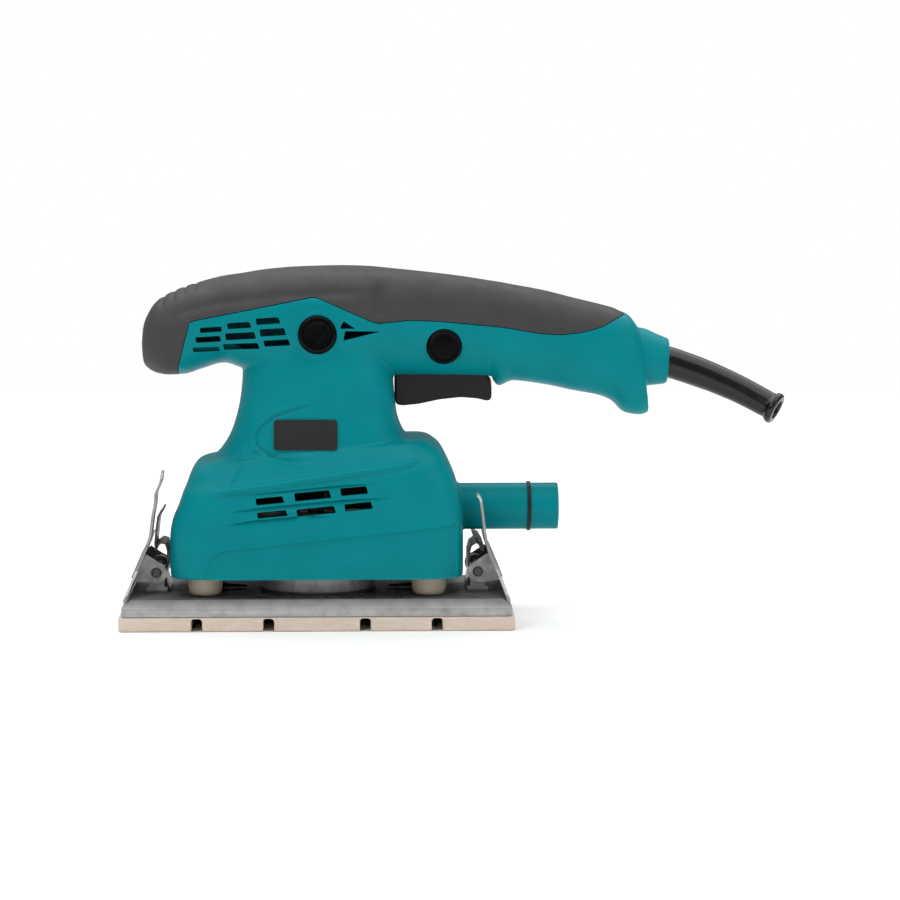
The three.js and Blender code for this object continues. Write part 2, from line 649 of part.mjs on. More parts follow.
// ---- platen ----
function plateRing(z, halfX, halfY, corner) {
  const points = [];
  const steps = 4;
  [[1, 1, 0], [-1, 1, 90], [-1, -1, 180], [1, -1, 270]].forEach(([sx, sy, start]) => {
    for (let i = 0; i <= steps; i += 1) {
      const angle = ((start + (90 * i) / steps) * Math.PI) / 180;
      points.push([
        sx * (halfX - corner) + corner * Math.cos(angle),
        sy * (halfY - corner) + corner * Math.sin(angle), z,
      ]);
    }
  });
  return points;
}

const DUST_HOLES = [[22.5, 23.5], [56, 12]];
const DUST_RADIUS = 3.5;

function dustHoles(z0, z1) {
  const holes = [];
  DUST_HOLES.forEach(([x, y]) => [-1, 1].forEach((sx) => [-1, 1].forEach((sy) => {
    holes.push(disc(DUST_RADIUS, z0, z1, 10, sx * x, sy * y));
  })));
  return unite(...holes);
}

function clampLug(sx) {
  const x = sx * PIN.x;
  const { inner, outer, radius, root, foot } = LUG;
  const lug = unite(
    box(x - 5, x + 5, inner, outer, root, foot),
    box(x - 3.6, x + 3.6, inner, outer, root, PIN.z),
    discY(radius, inner, outer, 12, x, PIN.z),
  );
  return unite(lug, mirrored(lug));
}

// Pockets in the top of the plate, drawn for one quarter and mirrored to the others.
const POCKETS = [
  [[33, 2.5], [47, 2.5], [47, 17], [34.5, 10]],
  [[3, 32], [15, 29.5], [17, 31.4], [17, 39.5], [3, 39.5]],
  [[28, 31.5], [40, 31.5], [40, 39.5], [20, 39.5]],
];
const POCKET_FLOOR = 11.6;
const PLATE_CORNER = 1.2;

function pocketCutters() {
  const cutters = [];
  [-1, 1].forEach((sx) => [-1, 1].forEach((sy) => {
    const placed = POCKETS.map((outline) => outline.map(([x, y]) => [sx * x, sy * y]));
    placed.forEach((outline) => {
      cutters.push(prismZ(sx * sy > 0 ? outline : outline.reverse(), POCKET_FLOOR, PLATE.top + 5));
    });
  }));
  return unite(...cutters);
}

function basePlate() {
  const halfX = PLATE.length / 2;
  const halfY = PLATE.width / 2;
  const inset = PLATE.chamfer;
  let plate = loft([
    plateRing(PLATE.bottom, halfX, halfY, PLATE_CORNER),
    plateRing(PLATE.rim, halfX, halfY, PLATE_CORNER),
    plateRing(PLATE.top, halfX - inset, halfY - inset, PLATE_CORNER),
  ]);
  plate = plate.subtract(pocketCutters());
  plate = unite(plate, disc(BOSS.radius, 12, BOSS.top, 32), clampLug(-1), clampLug(1));
  const pinHoles = [-1, 1].map((sx) => discY(PIN.radius + 0.2, -30, 30, 12, sx * PIN.x, PIN.z));
  return plate.subtract(unite(disc(BOSS.bore, BOSS.floor, 40, 28), dustHoles(0, 20), ...pinHoles));
}

function sandingPad() {
  let pad = loft([
    plateRing(0, PAD.length / 2 - 0.4, PAD.width / 2 - 0.4, 1.2),
    plateRing(0.5, PAD.length / 2, PAD.width / 2, 1.5),
    plateRing(PAD.height, PAD.length / 2, PAD.width / 2, 1.5),
  ]);
  GROOVE_X.forEach((x) => {
    pad = pad.subtract(box(x - PAD.groove / 2, x + PAD.groove / 2, -60, 60, -1, PAD.height - PAD.web));
  });
  return pad.subtract(dustHoles(-2, 10));
}

// Rubber post with a rounded foot: [radius, height].
const LEG_PROFILE = [
  [0, LEG.bottom], [4.6, LEG.bottom], [7, 15.7], [8.1, 19], [LEG.radius, 22],
  [LEG.radius, LEG.top], [0, LEG.top],
];

function leg(sx, sy) {
  return turned(LEG_PROFILE, 18, sx * LEG.x, sy * LEG.y);
}

// Constant-thickness strip following a side-view path, extruded between two depths.
function strip(path, thickness, from, to) {
  const half = thickness / 2;
  const pieces = path.slice(1).map(([x1, z1], i) => {
    const [x0, z0] = path[i];
    const length = Math.hypot(x1 - x0, z1 - z0);
    const nx = (-(z1 - z0) * half) / length;
    const nz = ((x1 - x0) * half) / length;
    const low = [[x0 - nx, z0 - nz], [x1 - nx, z1 - nz]];
    const high = [[x1 + nx, z1 + nz], [x0 + nx, z0 + nz]];
    return prismY([...low, ...high], from, to);
  });
  const joints = path.slice(1, -1).map(([x, z]) => discY(half, from, to, 8, x, z));
  return unite(...pieces, ...joints);
}

const REAR_SPRING = [
  [74, 41.2], [76.8, 39.8], [78.3, 37], [78.8, 33.8], [77.9, 34], [77, 36.6], [75.4, 37.6],
  [73, 36], [72, 32.4], [72, 27], [72.4, 22.6], [71.6, 19], [71.2, 15.5],
];
const FRONT_SPRING = [
  [73, 53.6], [75.4, 50.2], [76.2, 44], [76.9, 37.4], [76.4, 34.6], [75.8, 36.6], [74, 38], [71.8, 37.4],
  [70.9, 34], [71, 27], [72.2, 22.6], [71.6, 19], [70.2, 15.5],
];

function clampSpring(path, sx) {
  const band = strip(path, SPRING_BAND.thick, -SPRING_BAND.half, SPRING_BAND.half);
  return sx > 0 ? band : band.mirror([1, 0, 0]);
}

function clampPin(sx) {
  const r = PIN.radius;
  return turnedY([[0, -PIN.half], [r - 0.4, -PIN.half], [r, -PIN.half + 0.4], [r, PIN.half - 0.4],
    [r - 0.4, PIN.half], [0, PIN.half]], 20, sx * PIN.x, PIN.z);
}

// Sheet clamp drawn for the +X end: sloped jaw plate, finger tab beside the centre, two ears.
const CLAMP_PATHS = {
  front: [
    [90, 13.4], [86.6, 22], [80.4, 36.4], [78.2, 43], [77, 52], [75.8, 58], [75.4, 63],
    [73, 68.4], [72.4, 73],
  ],
  rear: [
    [90, 13.4], [86.6, 22], [80.8, 35.4], [79.4, 41], [78.4, 48], [77.6, 55], [76.8, 60], [75.6, 61.8],
  ],
};
const CLAMP = { thick: 1.2, half: 44, ribs: [-24, -10, 4, 18], ribX: 84, ribZ: 28.4 };
const SPRING_BAND = { thick: 1, half: 12.4 };

function clampSolid(path, sx) {
  const tabTop = path[path.length - 1][1] + 2;
  const outline = [
    [-43, 12], [43, 12], [43, 16.4], [31, 27], [24, 36], [20, 40.4], [-12, 40.4], [-14.6, 42.4],
    [-15.2, tabTop - 5], [-18, tabTop - 1.4], [-21, tabTop], [-26, tabTop], [-29, tabTop - 1.4],
    [-31.6, tabTop - 5], [-32, 40], [-33, 27], [-43, 16.4],
  ];
  let plate = strip(path, CLAMP.thick, -CLAMP.half, CLAMP.half).intersect(prismX(outline, 50, 110));
  const slopeAngle = (Math.atan2(path[2][0] - path[1][0], path[2][1] - path[1][1]) * 180) / Math.PI;
  CLAMP.ribs.forEach((y) => {
    const rib = box(-0.2, 1.1, y - 1.2, y + 1.2, -6.5, 6.5).rotate([0, slopeAngle, 0]);
    plate = plate.add(rib.translate([CLAMP.ribX, 0, CLAMP.ribZ]));
  });
  [-1, 1].forEach((sy) => {
    const y0 = sy > 0 ? EAR.inner : -EAR.outer;
    const y1 = sy > 0 ? EAR.outer : -EAR.inner;
    const ear = unite(
      discY(EAR.radius, y0, y1, 16, PIN.x, PIN.z),
      prismY([[74.6, 29], [77, 19.4], [86.6, 20.4], [83.2, 30.6], [80.6, 33]], y0, y1),
    );
    plate = plate.add(ear);
  });
  plate = plate.subtract(discY(PIN.radius + 0.2, -30, 30, 12, PIN.x, PIN.z));
  return sx > 0 ? plate : plate.mirror([1, 0, 0]);
}

// ---- assembly ----
const sander = new THREE.Group();
sander.name = 'orbital_sander';

function addPart(name, manifold, kind) {
  const mesh = new THREE.Mesh(surface(manifold), look(kind));
  mesh.name = name;
  sander.add(mesh);
}

function addHousing() {
  const shell = housingShell();
  addPart('left_housing', largest(nearHalf(shell)), 'teal');
  addPart('right_housing', largest(farHalf(shell)), 'teal');
  const grip = gripShell();
  addPart('left_grip', largest(nearHalf(grip)), 'rubber');
  addPart('right_grip', largest(farHalf(grip)), 'rubber');
  addPart('left_badge', badge(-1), 'badge');
  addPart('right_badge', badge(1), 'badge');
  addPart('spout_ring', spoutRing(), 'matteBlack');
  addPart('cord_guard', cordGuard(), 'black');
}

function addBrushGear() {
  const spring = coil(2.6, 4.6, 3, 0.4).rotate([-90, 0, 0]).translate([BRUSH.x, 20.5, BRUSH.z]);
  const gear = [
    ['brush_cap', brushCap(), 'black'], ['brush_holder', brushHolder(), 'brass'],
    ['carbon_brush', carbonBrush(), 'carbon'], ['brush_spring', spring, 'steel'],
  ];
  gear.forEach(([name, shape, kind]) => {
    addPart(`right_${name}`, shape, kind);
    addPart(`left_${name}`, mirrored(shape), kind);
  });
}

function addSwitchGear() {
  addPart('trigger', triggerSolid(), 'matteBlack');
  addPart('trigger_spring', coil(3, 10.8, 4, 0.5).translate([70, 0, 122.4]), 'steel');
  addPart('lock_button', lockButton(), 'black');
  addPart('switch_body', switchBody(), 'matteBlack');
  addPart('capacitor', box(110, 128, -8, 8, 122, 134), 'film');
}

function addMotor() {
  const x = MOTOR_X;
  addPart('field_core', fieldCore(), 'laminate');
  addPart('field_coil_lower', fieldCoil(72.5, CORE.bottom - 0.2), 'copper');
  addPart('field_coil_upper', fieldCoil(CORE.top + 0.2, 120.4), 'copper');
  addPart('motor_shaft', disc(SHAFT.radius, SHAFT.bottom, SHAFT.top, 24, x), 'steel');
  addPart('armature_core', armatureCore(), 'laminate');
  addPart('armature_winding_lower', winding(72.4, CORE.bottom + 0.8), 'copper');
  addPart('armature_winding_upper', winding(CORE.top - 0.8, 123.8), 'copper');
  addPart('commutator', commutator(), 'copper');
  addPart('cooling_fan', coolingFan(), 'fan');
  addPart('eccentric', eccentric(), 'steel');
  addPart('lower_bearing', bearing(11, SHAFT.bore, 44.4, 51.4, x), 'steel');
  addPart('upper_bearing', bearing(8, SHAFT.bore, 148, 153, x), 'steel');
  addPart('bearing_bracket', bearingBracket(), 'alloy');
}

function addScrews() {
  SCREWS.forEach(([x, z, head], i) => {
    addPart(`housing_screw_${i + 1}`, housingScrew(x, z, head), 'steel');
  });
}

function addPlaten() {
  addPart('sanding_pad', sandingPad(), 'felt');
  addPart('base_plate', basePlate(), 'alloy');
  addPart('eccentric_bearing', bearing(13, 6.1, 17.8, 26.6, 0), 'steel');
  [['front', -1], ['rear', 1]].forEach(([end, sx]) => {
    [['left', -1], ['right', 1]].forEach(([side, sy]) => {
      addPart(`${end}_${side}_leg`, leg(sx, sy), 'leg');
    });
    addPart(`${end}_clamp_pin`, clampPin(sx), 'spring');
    addPart(`${end}_clamp_spring`, clampSpring(sx > 0 ? REAR_SPRING : FRONT_SPRING, sx), 'spring');
    addPart(`${end}_clamp`, clampSolid(CLAMP_PATHS[end], sx), 'zinc');
  });
}

addHousing();
addBrushGear();
addSwitchGear();
addMotor();
addScrews();
addPlaten();

export default sander;
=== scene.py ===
# Looks for the orbital sander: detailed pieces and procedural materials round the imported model.
import json
import math

import bpy
import numpy as np
from mathutils import Matrix, Vector


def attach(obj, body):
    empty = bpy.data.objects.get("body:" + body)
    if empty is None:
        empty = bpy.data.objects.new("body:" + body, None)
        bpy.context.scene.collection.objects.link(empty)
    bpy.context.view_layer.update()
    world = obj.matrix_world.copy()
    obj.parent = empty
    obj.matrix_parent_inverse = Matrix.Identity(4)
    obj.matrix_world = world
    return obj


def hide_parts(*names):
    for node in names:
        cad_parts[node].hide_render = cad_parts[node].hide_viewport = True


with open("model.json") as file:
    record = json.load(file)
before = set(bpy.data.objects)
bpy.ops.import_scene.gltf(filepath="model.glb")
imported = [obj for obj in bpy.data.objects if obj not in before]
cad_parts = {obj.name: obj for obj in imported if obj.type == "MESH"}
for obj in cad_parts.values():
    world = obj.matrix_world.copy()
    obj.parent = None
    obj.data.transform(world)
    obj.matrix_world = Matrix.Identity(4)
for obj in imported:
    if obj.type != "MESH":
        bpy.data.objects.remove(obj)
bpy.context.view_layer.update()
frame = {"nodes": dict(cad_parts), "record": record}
NODES = frame["nodes"]

# ---- dimensions, millimetres, mostly those of the CAD ----
MM = 0.001
GAP = 0.15                # half of the clearance between the housing halves
WALL = 2.6                # plastic wall
RUBBER = 2.0              # thickness of the overmoulded grip
RUBBER_GAP = 0.3          # clearance between grip and plastic
GROOVE = 0.15             # extra width of the shadow line round the grip, not in the CAD
FAR = 150.0               # reach of cutters that pass right through
OUTSIDE = 70.0            # beyond the side of the housing
TINY = 0.01               # radius that stands for a point in a turned profile
ROUND_PLAY = 0.35         # clearance round the brush caps and the lock button, within .05 of the CAD
STEM_PLAY = 0.4           # clearance round the stem of the lock button
# The allowance makes up for what the smoothing takes off. It and the deeper root are not in the CAD
SPOUT = {
    "z": 53.6, "radius": 11.0, "allowance": .12, "bore": 8.8, "root": 55.0, "bore_start": 58.0,
    "end": 115.0,
}
BRUSH = {"x": 0.5, "z": 137.5, "cap": 8.75, "boss": 10.5, "boss_face": 31.6, "face": 33.4, "seat": 25.6}
BRUSH_PASSAGE = {"radius": 6.5, "start": 11.0, "end": 30.0}
CAP_HOLE_START = 25.2
INNER_BOSS = {"start": 21.4, "end": 29.0}
LOCK = {"x": 60.0, "z": 131.2, "radius": 8.1, "stem": 4.0, "face": 22.4, "back": 20.6, "stem_end": 13.6}
LOCK_HOLE_END = -16.6
STEM_HOLE = (-20.0, -10.0)
TRIGGER_HALF = 8.6
TRIGGER_HOLE = ((36.5, -9.0, 96.0), (83.9, 9.0, 124.0))     # its front wall is forward of the CAD's
PAD = {"length": 185.0, "width": 93.0, "height": 7.0, "groove": 5.0, "web": 1.0}
GROOVE_X = [-56.0, -22.5, 22.5, 56.0]
DUST_HOLES = [(22.5, 23.5), (56.0, 12.0)]
DUST_RADIUS = 3.5
COLLAR_BORE = {"z": 123.0, "radius": 8.1, "start": 140.0, "end": 190.0}
LEG = {"x": 52.6, "y": 27.2}
# Screws: x, z and the depth of the head's seat, on the +Y side
SCREWS = [(-50, 127, 22), (33, 121, 24), (-56, 57, 37), (49, 72, 35), (100, 127, 15), (146, 119, 13)]
SCREW = {"recess": 3.9, "hole": 1.85, "boss": 4.2, "boss_back": 2.5}
WEB = 2.2                 # half thickness of the stiffening webs at the parting plane
WEB_TOP = 160.0
WEBS = [(-62, -18, 121), (-19, -13, 126), (12.5, 36, 126)]   # from x, to x, bottom

# ---- shape of the housing ----
# Skirt and neck rings: height at x = 0, slope along x, left x, right x, half width, corner power
BODY_RINGS = [
    (23.5, 0, -69.1, 68.9, 41.8, 7), (30, 0, -69.4, 69, 42, 7), (42, 0, -69.3, 69, 42, 7),
    (51, .02, -68.2, 68.8, 41.9, 7), (60, .06, -65.6, 67, 41.7, 6.5), (69.5, .12, -63.6, 62, 41.2, 6),
    (74.5, .13, -61.6, 59.2, 39, 5.4), (79.3, .11, -59.2, 56, 36.4, 5),
    (82.3, .104, -55.8, 51.8, 34.6, 4.6), (83.4, .104, -49.5, 43.5, 33.4, 4.2),
    (89.5, .1, -43.4, 39.6, 32.8, 4), (96.5, .08, -39.6, 37.9, 32.4, 3.8),
    (105, .02, -36.7, 37.1, 32.1, 3.6), (114, 0, -35.4, 36.3, 31.8, 3.4), (122, 0, -35, 36, 31.2, 3.2),
    (134, 0, -33, 34, 29.4, 3),
]
# Grip and handle rings: x, top z, bottom z, half width, corner power, lean of the section
TOP_RINGS = [
    (-82.7, 135, 128.5, 7, 2.2, 0), (-81.9, 141.2, 122.6, 14.5, 2.2, 0), (-79.6, 146.8, 119.9, 19, 2.2, 0),
    (-75.6, 152.2, 117.9, 22.6, 2.3, 0), (-70.3, 155.6, 117.1, 24.8, 2.3, 0),
    (-62.8, 158.8, 117.5, 26.6, 2.4, 0), (-54, 161.5, 120.2, 27.8, 2.4, 0),
    (-43.8, 164, 122.9, 28.8, 2.5, 0), (-36, 165.1, 120.6, 29.6, 2.6, 0), (-24.8, 166.9, 117, 30.6, 2.7, 0),
    (-8, 168.3, 116, 31.2, 2.8, 0), (12, 168.8, 116, 31, 2.8, 0), (24, 168.5, 116.3, 29.6, 2.7, 0),
    (34, 167.6, 116.6, 26.6, 2.6, 0), (44, 166.6, 116.6, 23.6, 2.6, 0), (56, 165.3, 116.4, 21.9, 2.6, 0),
    (70, 163.5, 116.2, 21.2, 2.6, 0), (82, 161.6, 115.6, 20.8, 2.6, 0), (86.5, 160.9, 111.5, 20.6, 2.6, 0),
    (93, 159.7, 114, 20.4, 2.6, 0), (108, 156.9, 112.2, 19.8, 2.6, 0), (123, 153.1, 109, 19.4, 2.6, 0),
    (133, 150.7, 107.2, 19.2, 2.6, 0), (140.5, 148.7, 104.2, 19, 2.7, 0),
    (145.5, 147.2, 98.6, 18.7, 2.8, -.06), (151, 145.4, 97.5, 17.6, 2.9, -.12),
    (155, 140.5, 98.8, 15.6, 2.9, -.14),
]
# Collar rings: x, top z, bottom z, half width
COLLAR_RINGS = [
    (146, 139.5, 110.5, 14.5), (154, 138.8, 111, 14), (161, 136, 111.6, 12.6), (167, 133.6, 112.2, 11),
]
COLLAR_POWER = 2.3
COLLAR_LEAN = .06
LEAN_PIVOT = 120.0        # height about which a section leans
# Rows added between two rings of each table, and points round a ring
BODY_STEPS = 7
TOP_STEPS = 6
COLLAR_STEPS = 6
HOLLOW_STEPS = 3
BODY_POINTS = 240
TOP_POINTS = 200
# The hollow inside
SHOULDER_HEIGHT = 60.0    # above this the hollow stays below the sloping roof
ROOF_SHARE = .6           # how far below, as a share of the inset
OPEN_BELOW = 12.0         # how far the hollow runs out under the skirt
NOSE_SHARE = .6           # how fast the rings of the hollow draw in at the front end
LEAST_HALF = .6           # half height that a ring of the hollow keeps
NECK_TOP = ((-90, -70, 126), (90, 70, 150))
# Even mesh of the outside
VOXEL = .7
FILLET_STEPS = 4
SMOOTHING = .5
CORNER_SHARE = .45        # most of an edge that a rounded corner takes
# Lower edge of the rubber grip in side view; above it is rubber. The first points are its front edge
GRIP_EDGE = [
    (-66.6, 100), (-65.4, 121), (-59.9, 141.4), (-59.2, 143), (-57.6, 144), (-2.6, 155), (-.6, 155.1),
    (1.7, 154.4), (26, 143.6), (29.5, 142.7), (35.9, 143.3), (44.4, 144), (58.7, 143.3), (87.3, 140.5),
    (106.3, 137.3), (115.8, 136.9), (125.4, 137.9), (134.9, 140.5), (141.5, 144), (147, 146.6), (170, 150),
]
FRONT_POINTS = 3

# ---- styling of the moulding, in side view; the CAD sides are plain ----
SHOULDER_LINE = [(-50.8, 64), (36.2, 76.8), (44, 78.6), (50.6, 81.9)]
SWOOSH = [(5.9, 107.3), (-7.8, 103.4), (-14, 101.4), (-20.1, 99.1), (-26.7, 93.9), (-29, 89.4), (-28, 85.5),
          (-22.1, 81.6), (-16, 79.8), (-10.4, 78.9), (1.3, 78.6)]
FLARE_LINE = [(-33, 85), (-36, 76), (-43, 64)]
GRIP_LINE = [(-73, 143), (-70, 147), (-62, 151.5), (-45, 155.5), (-20, 158.5), (10, 160), (30, 159.5)]
# Each line, the shares of it over which it fades in and out, and its waves: height, offset across it, width
STYLING = [
    (SHOULDER_LINE, .08, .1, [(1.2, 0, 1.0), (-.9, -2.4, 1.2)]),
    (SWOOSH, .2, .2, [(-.9, 0, .8), (.5, -1.7, 1.3)]),
    (FLARE_LINE, .2, .2, [(.6, 0, 1.1)]),
    (GRIP_LINE, .15, .2, [(-.9, -3, 2.4)]),
]
STYLING_END = 66.0        # no styling behind this x, where the spout is
SIDE_FACING = (.45, .3)   # sideways share of the normal where styling starts, and its reach to full depth
TOP_FACING = (.1, .4)     # the same for the upward share
# The lower skirt stands back below this line
STEP_LINE = [(-53.4, 20), (-52.8, 23.5), (-50.7, 30), (-48.8, 34), (-45, 36.4), (-40.1, 37.3), (63.7, 48.4),
             (80, 50)]
STEP = {"depth": .8, "start": .5, "run": 1.0, "top": 52.0, "lip": .25, "lip_offset": 1.0, "lip_width": .8}
# Ridges across the front of the grip, and the dimple behind the brush caps
RIDGE_X = [-72.5, -67.5, -62.5, -57.5]
RIDGE = {"depth": .55, "width": .9, "above": 140.0, "ends": (20, -5)}
DIMPLE = {"depth": 1.9, "x": 29.5, "width": 3.6, "bottom": (144, 4), "top": (164, -8), "facing": (.2, .3)}
# Tapered wedges beside the lower slots: both ends of the centre line
FLUTES = [((-46, 60.4), (34, 68.2)), ((-46, 54), (38, 61.5)), ((-44, 48.4), (8, 53))]
# Tip: width there as a share of the full one. Face: half width of the skirt. Run-out: share of the length
FLUTE = {"depth": 1.9, "half": 1.9, "tip": .25, "face": 42.0, "outside": 46.0, "draft": .4, "run_out": .25}
FLUTE_STATIONS = [0, .06, .12, .2, .3, .5, .7, .8, .88, .94, 1]

# ---- air slots: left x, right x, bottom z, top z, rise per millimetre of x, slant of the ends ----
UPPER_SLOTS = [
    (-54.2, -43.8, 138.2, 140.6, .07, .6), (-41.2, -30.2, 140, 142.8, .07, 1),
    (-27.8, -16.6, 142, 145, .07, 1), (-56.2, -44.4, 133.5, 136.2, .06, .6),
    (-42.2, -28, 134.8, 138, .06, 1), (-26, -14, 136.6, 140, .06, 1), (-57.6, -45, 129.1, 131.3, .04, .6),
    (-43.2, -26.4, 130.2, 133, .04, 1), (-24.2, -12, 131.9, 134.8, .05, 1),
]
UPPER_TRIANGLES = [[(11, 140.2), (18.2, 140.2), (12.6, 144)], [(12.6, 134.6), (30, 138.8), (13.4, 139.2)]]
LOWER_SLOTS = [
    (-28, -15, 58.6, 61.8, .09, 1), (-10, 6.8, 60.4, 64.2, .09, 1), (11.4, 24, 62.8, 66.4, .09, 1),
    (-27.4, -13.4, 52.4, 55.2, .09, 1), (-9, 9, 53.2, 56.6, .1, 1), (13.3, 26.2, 55.6, 59, .1, 1),
]
UPPER_SLOT_START = 21.0   # distance from the centre plane at which the cutters begin
LOWER_SLOT_START = 34.0
SLOT_CORNER = .7

# ---- fittings ----
# Brush cap: radius and depth behind the face, from the rim to the middle
CAP_PROFILE = [
    (BRUSH["cap"], 1.1), (BRUSH["cap"] - .15, .6), (BRUSH["cap"] - .5, .2), (BRUSH["cap"] - 1, 0), (7, 0),
    (6.7, .3), (6.5, .9), (4.6, 1), (4.5, .8), (4.2, .8), (4.1, 1), (0, 1),
]
CAP_SLOT = {"turn": -45, "reach": 5.6, "half": 1.1, "depth": 3.0}
# Lock button: radius and depth behind the face, from the rim to the middle
LOCK_PROFILE = [
    (LOCK["radius"], .9), (LOCK["radius"] - .15, .5), (LOCK["radius"] - .5, .2), (LOCK["radius"] - 1, .05),
    (LOCK["radius"] - 1.3, .15), (LOCK["radius"] - 2.5, .12), (3, .02), (0, 0),
]
# Side view of the trigger. Its front is 1 mm further forward than in the CAD
TRIGGER_SIDE = [
    (36.9, 121.5), (36.9, 105.6), (37.2, 104), (38.2, 102.9), (40.6, 102.5), (48, 103.2), (58, 105.3),
    (68, 106.4), (76, 105.8), (80.4, 104.7), (82, 104.9), (82.9, 106.2), (83, 110), (82.6, 115.2),
    (80, 118), (80, 121.5),
]
# Centre line of the bend relief, and its outer radius at shares of its length
GUARD_PATH = [(150, 0, 123), (158, 0, 123), (166, 0, 122.8), (176, -.6, 119.8), (188, -2.2, 115.4),
              (200, -5, 110.2), (209, -8, 105.6), (218.6, -12, 100.4)]
GUARD_OUTER = [
    (0, 7.5), (.2, 7.5), (.3, 7.3), (.4, 7.2), (.5, 7), (.6, 6.8), (.7, 6.6), (.8, 6.45), (.9, 6.35),
    (.94, 6.3), (.95, 6.6), (.958, 7.4), (.972, 7.7), (.985, 7.7), (.995, 7.3), (1, 6.7),
]
GUARD_LIP = (6.2, 5.4, 4.9)
GUARD_BORE = 4.5
# Pad outline: height, inset and corner radius
PAD_RINGS = [(0, .5, 1.5), (.5, 0, 1.8), (PAD["height"] - .3, 0, 1.8), (PAD["height"], .3, 1.6)]
PAD_VOXEL = .62
UNEVEN = .05              # mean depth of the unevenness of the pad's surface
# Rubber leg: radius and height
LEG_PROFILE = [
    (0, 14.75), (4.6, 14.75), (6, 15), (7, 15.7), (7.7, 17), (8.1, 19), (8.3, 22), (8.3, 37.6), (0, 37.6),
]
# Rounded edges on the CAD nodes that stay in view
EDGE_WIDTHS = {
    "base_plate": .35, "front_clamp": .15, "rear_clamp": .15, "spout_ring": .3, "left_badge": .25,
    "right_badge": .25, "front_clamp_spring": .2, "rear_clamp_spring": .2, "front_clamp_pin": .15,
    "rear_clamp_pin": .15,
}

# ---- looks ----
# Screen colour, roughness, colour variation, grain size, grain depth, specular level, coat
MOULDED = {
    "teal_plastic": ((0, 128, 136), .4, .05, .5, .01, .08),
    "grip_rubber": ((61, 60, 61), .6, .12, .3, .04, .28),
    "badge_grey": ((36, 37, 38), .42, .1, .3, .01, .25),
    "ring_rubber": ((24, 24, 24), .5, .15, .3, .02, .3),
    "guard_rubber": ((8, 8, 8), .24, .15, 1.4, .006, .42),
    "black_plastic": ((2, 3, 4), .25, .2, .4, .004, .1),
    "trigger_plastic": ((20, 20, 21), .42, .15, .25, .04, .3),
    "fan_plastic": ((44, 46, 48), .6, .15, .3, .03),
    "carbon": ((52, 52, 54), .7, .25, .2, .05),
    "leg_rubber": ((178, 166, 148), .6, .12, .6, .05, .3),
    "capacitor_film": ((200, 178, 60), .3, .1, .8, .01, .5, .3),
}
# Paler colour on the convex edges: edge wear and a painted edge highlight
EDGE_WEAR_HIGHLIGHT_TINTS = {"teal_plastic": (4, 156, 160), "grip_rubber": (96, 95, 95)}
# Linear colour, roughness, metallic share, stretch of the rolling lines
SHEET_METALS = {
    "zinc_steel": ((.3, .295, .285), .36, .55),
    "steel": ((.3, .3, .31), .34, .8),
    "laminated_steel": ((.3, .31, .33), .5, .9, (.05, .05, 3)),
    "spring_steel": ((.014, .013, .013), .34, .2),
    "brass": ((.7, .5, .2), .35),
    "copper": ((.55, .25, .12), .4, .9, (.2, .2, 6)),
}
CAST_GREY = .27
# Painted shade and painted light on the cast parts by height: darker top of the plate, brighter rim and
# bosses
CAST_SHADING_HEIGHTS = (9.9, 17.6)
CAST_PAINTED_SHADES = [(0, 1.5), (.2, .8), (.6, .4), (.7, .42), (.82, 1.9)]   # share of those heights, brightness
FELT_COLOUR = (214, 200, 186)

# ---- camera, light and floor ----
CAMERA = {
    "place": (13.6, -1546.5, 223), "aim": (63.4, 0, 80.5), "lens": 130, "sensor": 36, "near": .01,
    "far": 20,
}
FLOOR = {"centre": (60, 0), "radius": 1500}
SURROUND_LIGHT = .3
LIGHT_AIM = (.06, 0, .08)
# Name, place in metres, size in metres, power in watts
LIGHTS = [
    ("overhead", (.05, .3, 2.3), (4.4, 4.4), 118),
    ("key", (-.9, -1.3, 1.1), (.7, .7), 5),
    ("fill", (1.3, -1.1, .7), (.6, .6), 3),
]


# ---- mesh helpers ----
def add_mesh(name, points, faces):
    """A mesh object from points in millimetres."""
    mesh = bpy.data.meshes.new(name)
    scaled = (np.asarray(points, float) * MM).tolist()
    mesh.from_pydata(scaled, [], faces)
    mesh.update()
    made = bpy.data.objects.new(name, mesh)
    bpy.context.scene.collection.objects.link(made)
    return made


def ring_faces(rows, count):
    """Quads over a stack of rings with equal point counts, plus end caps."""
    faces = []
    for row in range(rows - 1):
        low = row * count
        high = low + count
        for i in range(count):
            j = (i + 1) % count
            faces.append((low + i, low + j, high + j, high + i))
    faces.append(tuple(reversed(range(count))))
    faces.append(tuple(range((rows - 1) * count, rows * count)))
    return faces


def loft(name, rings):
    """Closed solid over a stack of rings."""
    count = len(rings[0])
    points = [p for ring in rings for p in ring]
    made = add_mesh(name, points, ring_faces(len(rings), count))
    outward(made)
    return made


def outward(obj):
    """Turns a closed mesh's faces outward, from the sign of its volume."""
    mesh = obj.data
    mesh.calc_loop_triangles()
    corners = np.empty(len(mesh.loop_triangles) * 3, np.int64)
    mesh.loop_triangles.foreach_get("vertices", corners)
    co = coordinates(obj)[corners].reshape(-1, 3, 3)
    volume = np.einsum("ij,ij->i", co[:, 0], np.cross(co[:, 1], co[:, 2])).sum()
    if volume < 0:
        mesh.flip_normals()


def coordinates(obj):
    flat = np.empty(len(obj.data.vertices) * 3)
    obj.data.vertices.foreach_get("co", flat)
    return flat.reshape(-1, 3)


def set_coordinates(obj, points):
    obj.data.vertices.foreach_set("co", np.asarray(points, float).ravel())
    obj.data.update()


def vertex_normals(obj):
    flat = np.empty(len(obj.data.vertices) * 3)
    obj.data.vertex_normals.foreach_get("vector", flat)
    return flat.reshape(-1, 3)


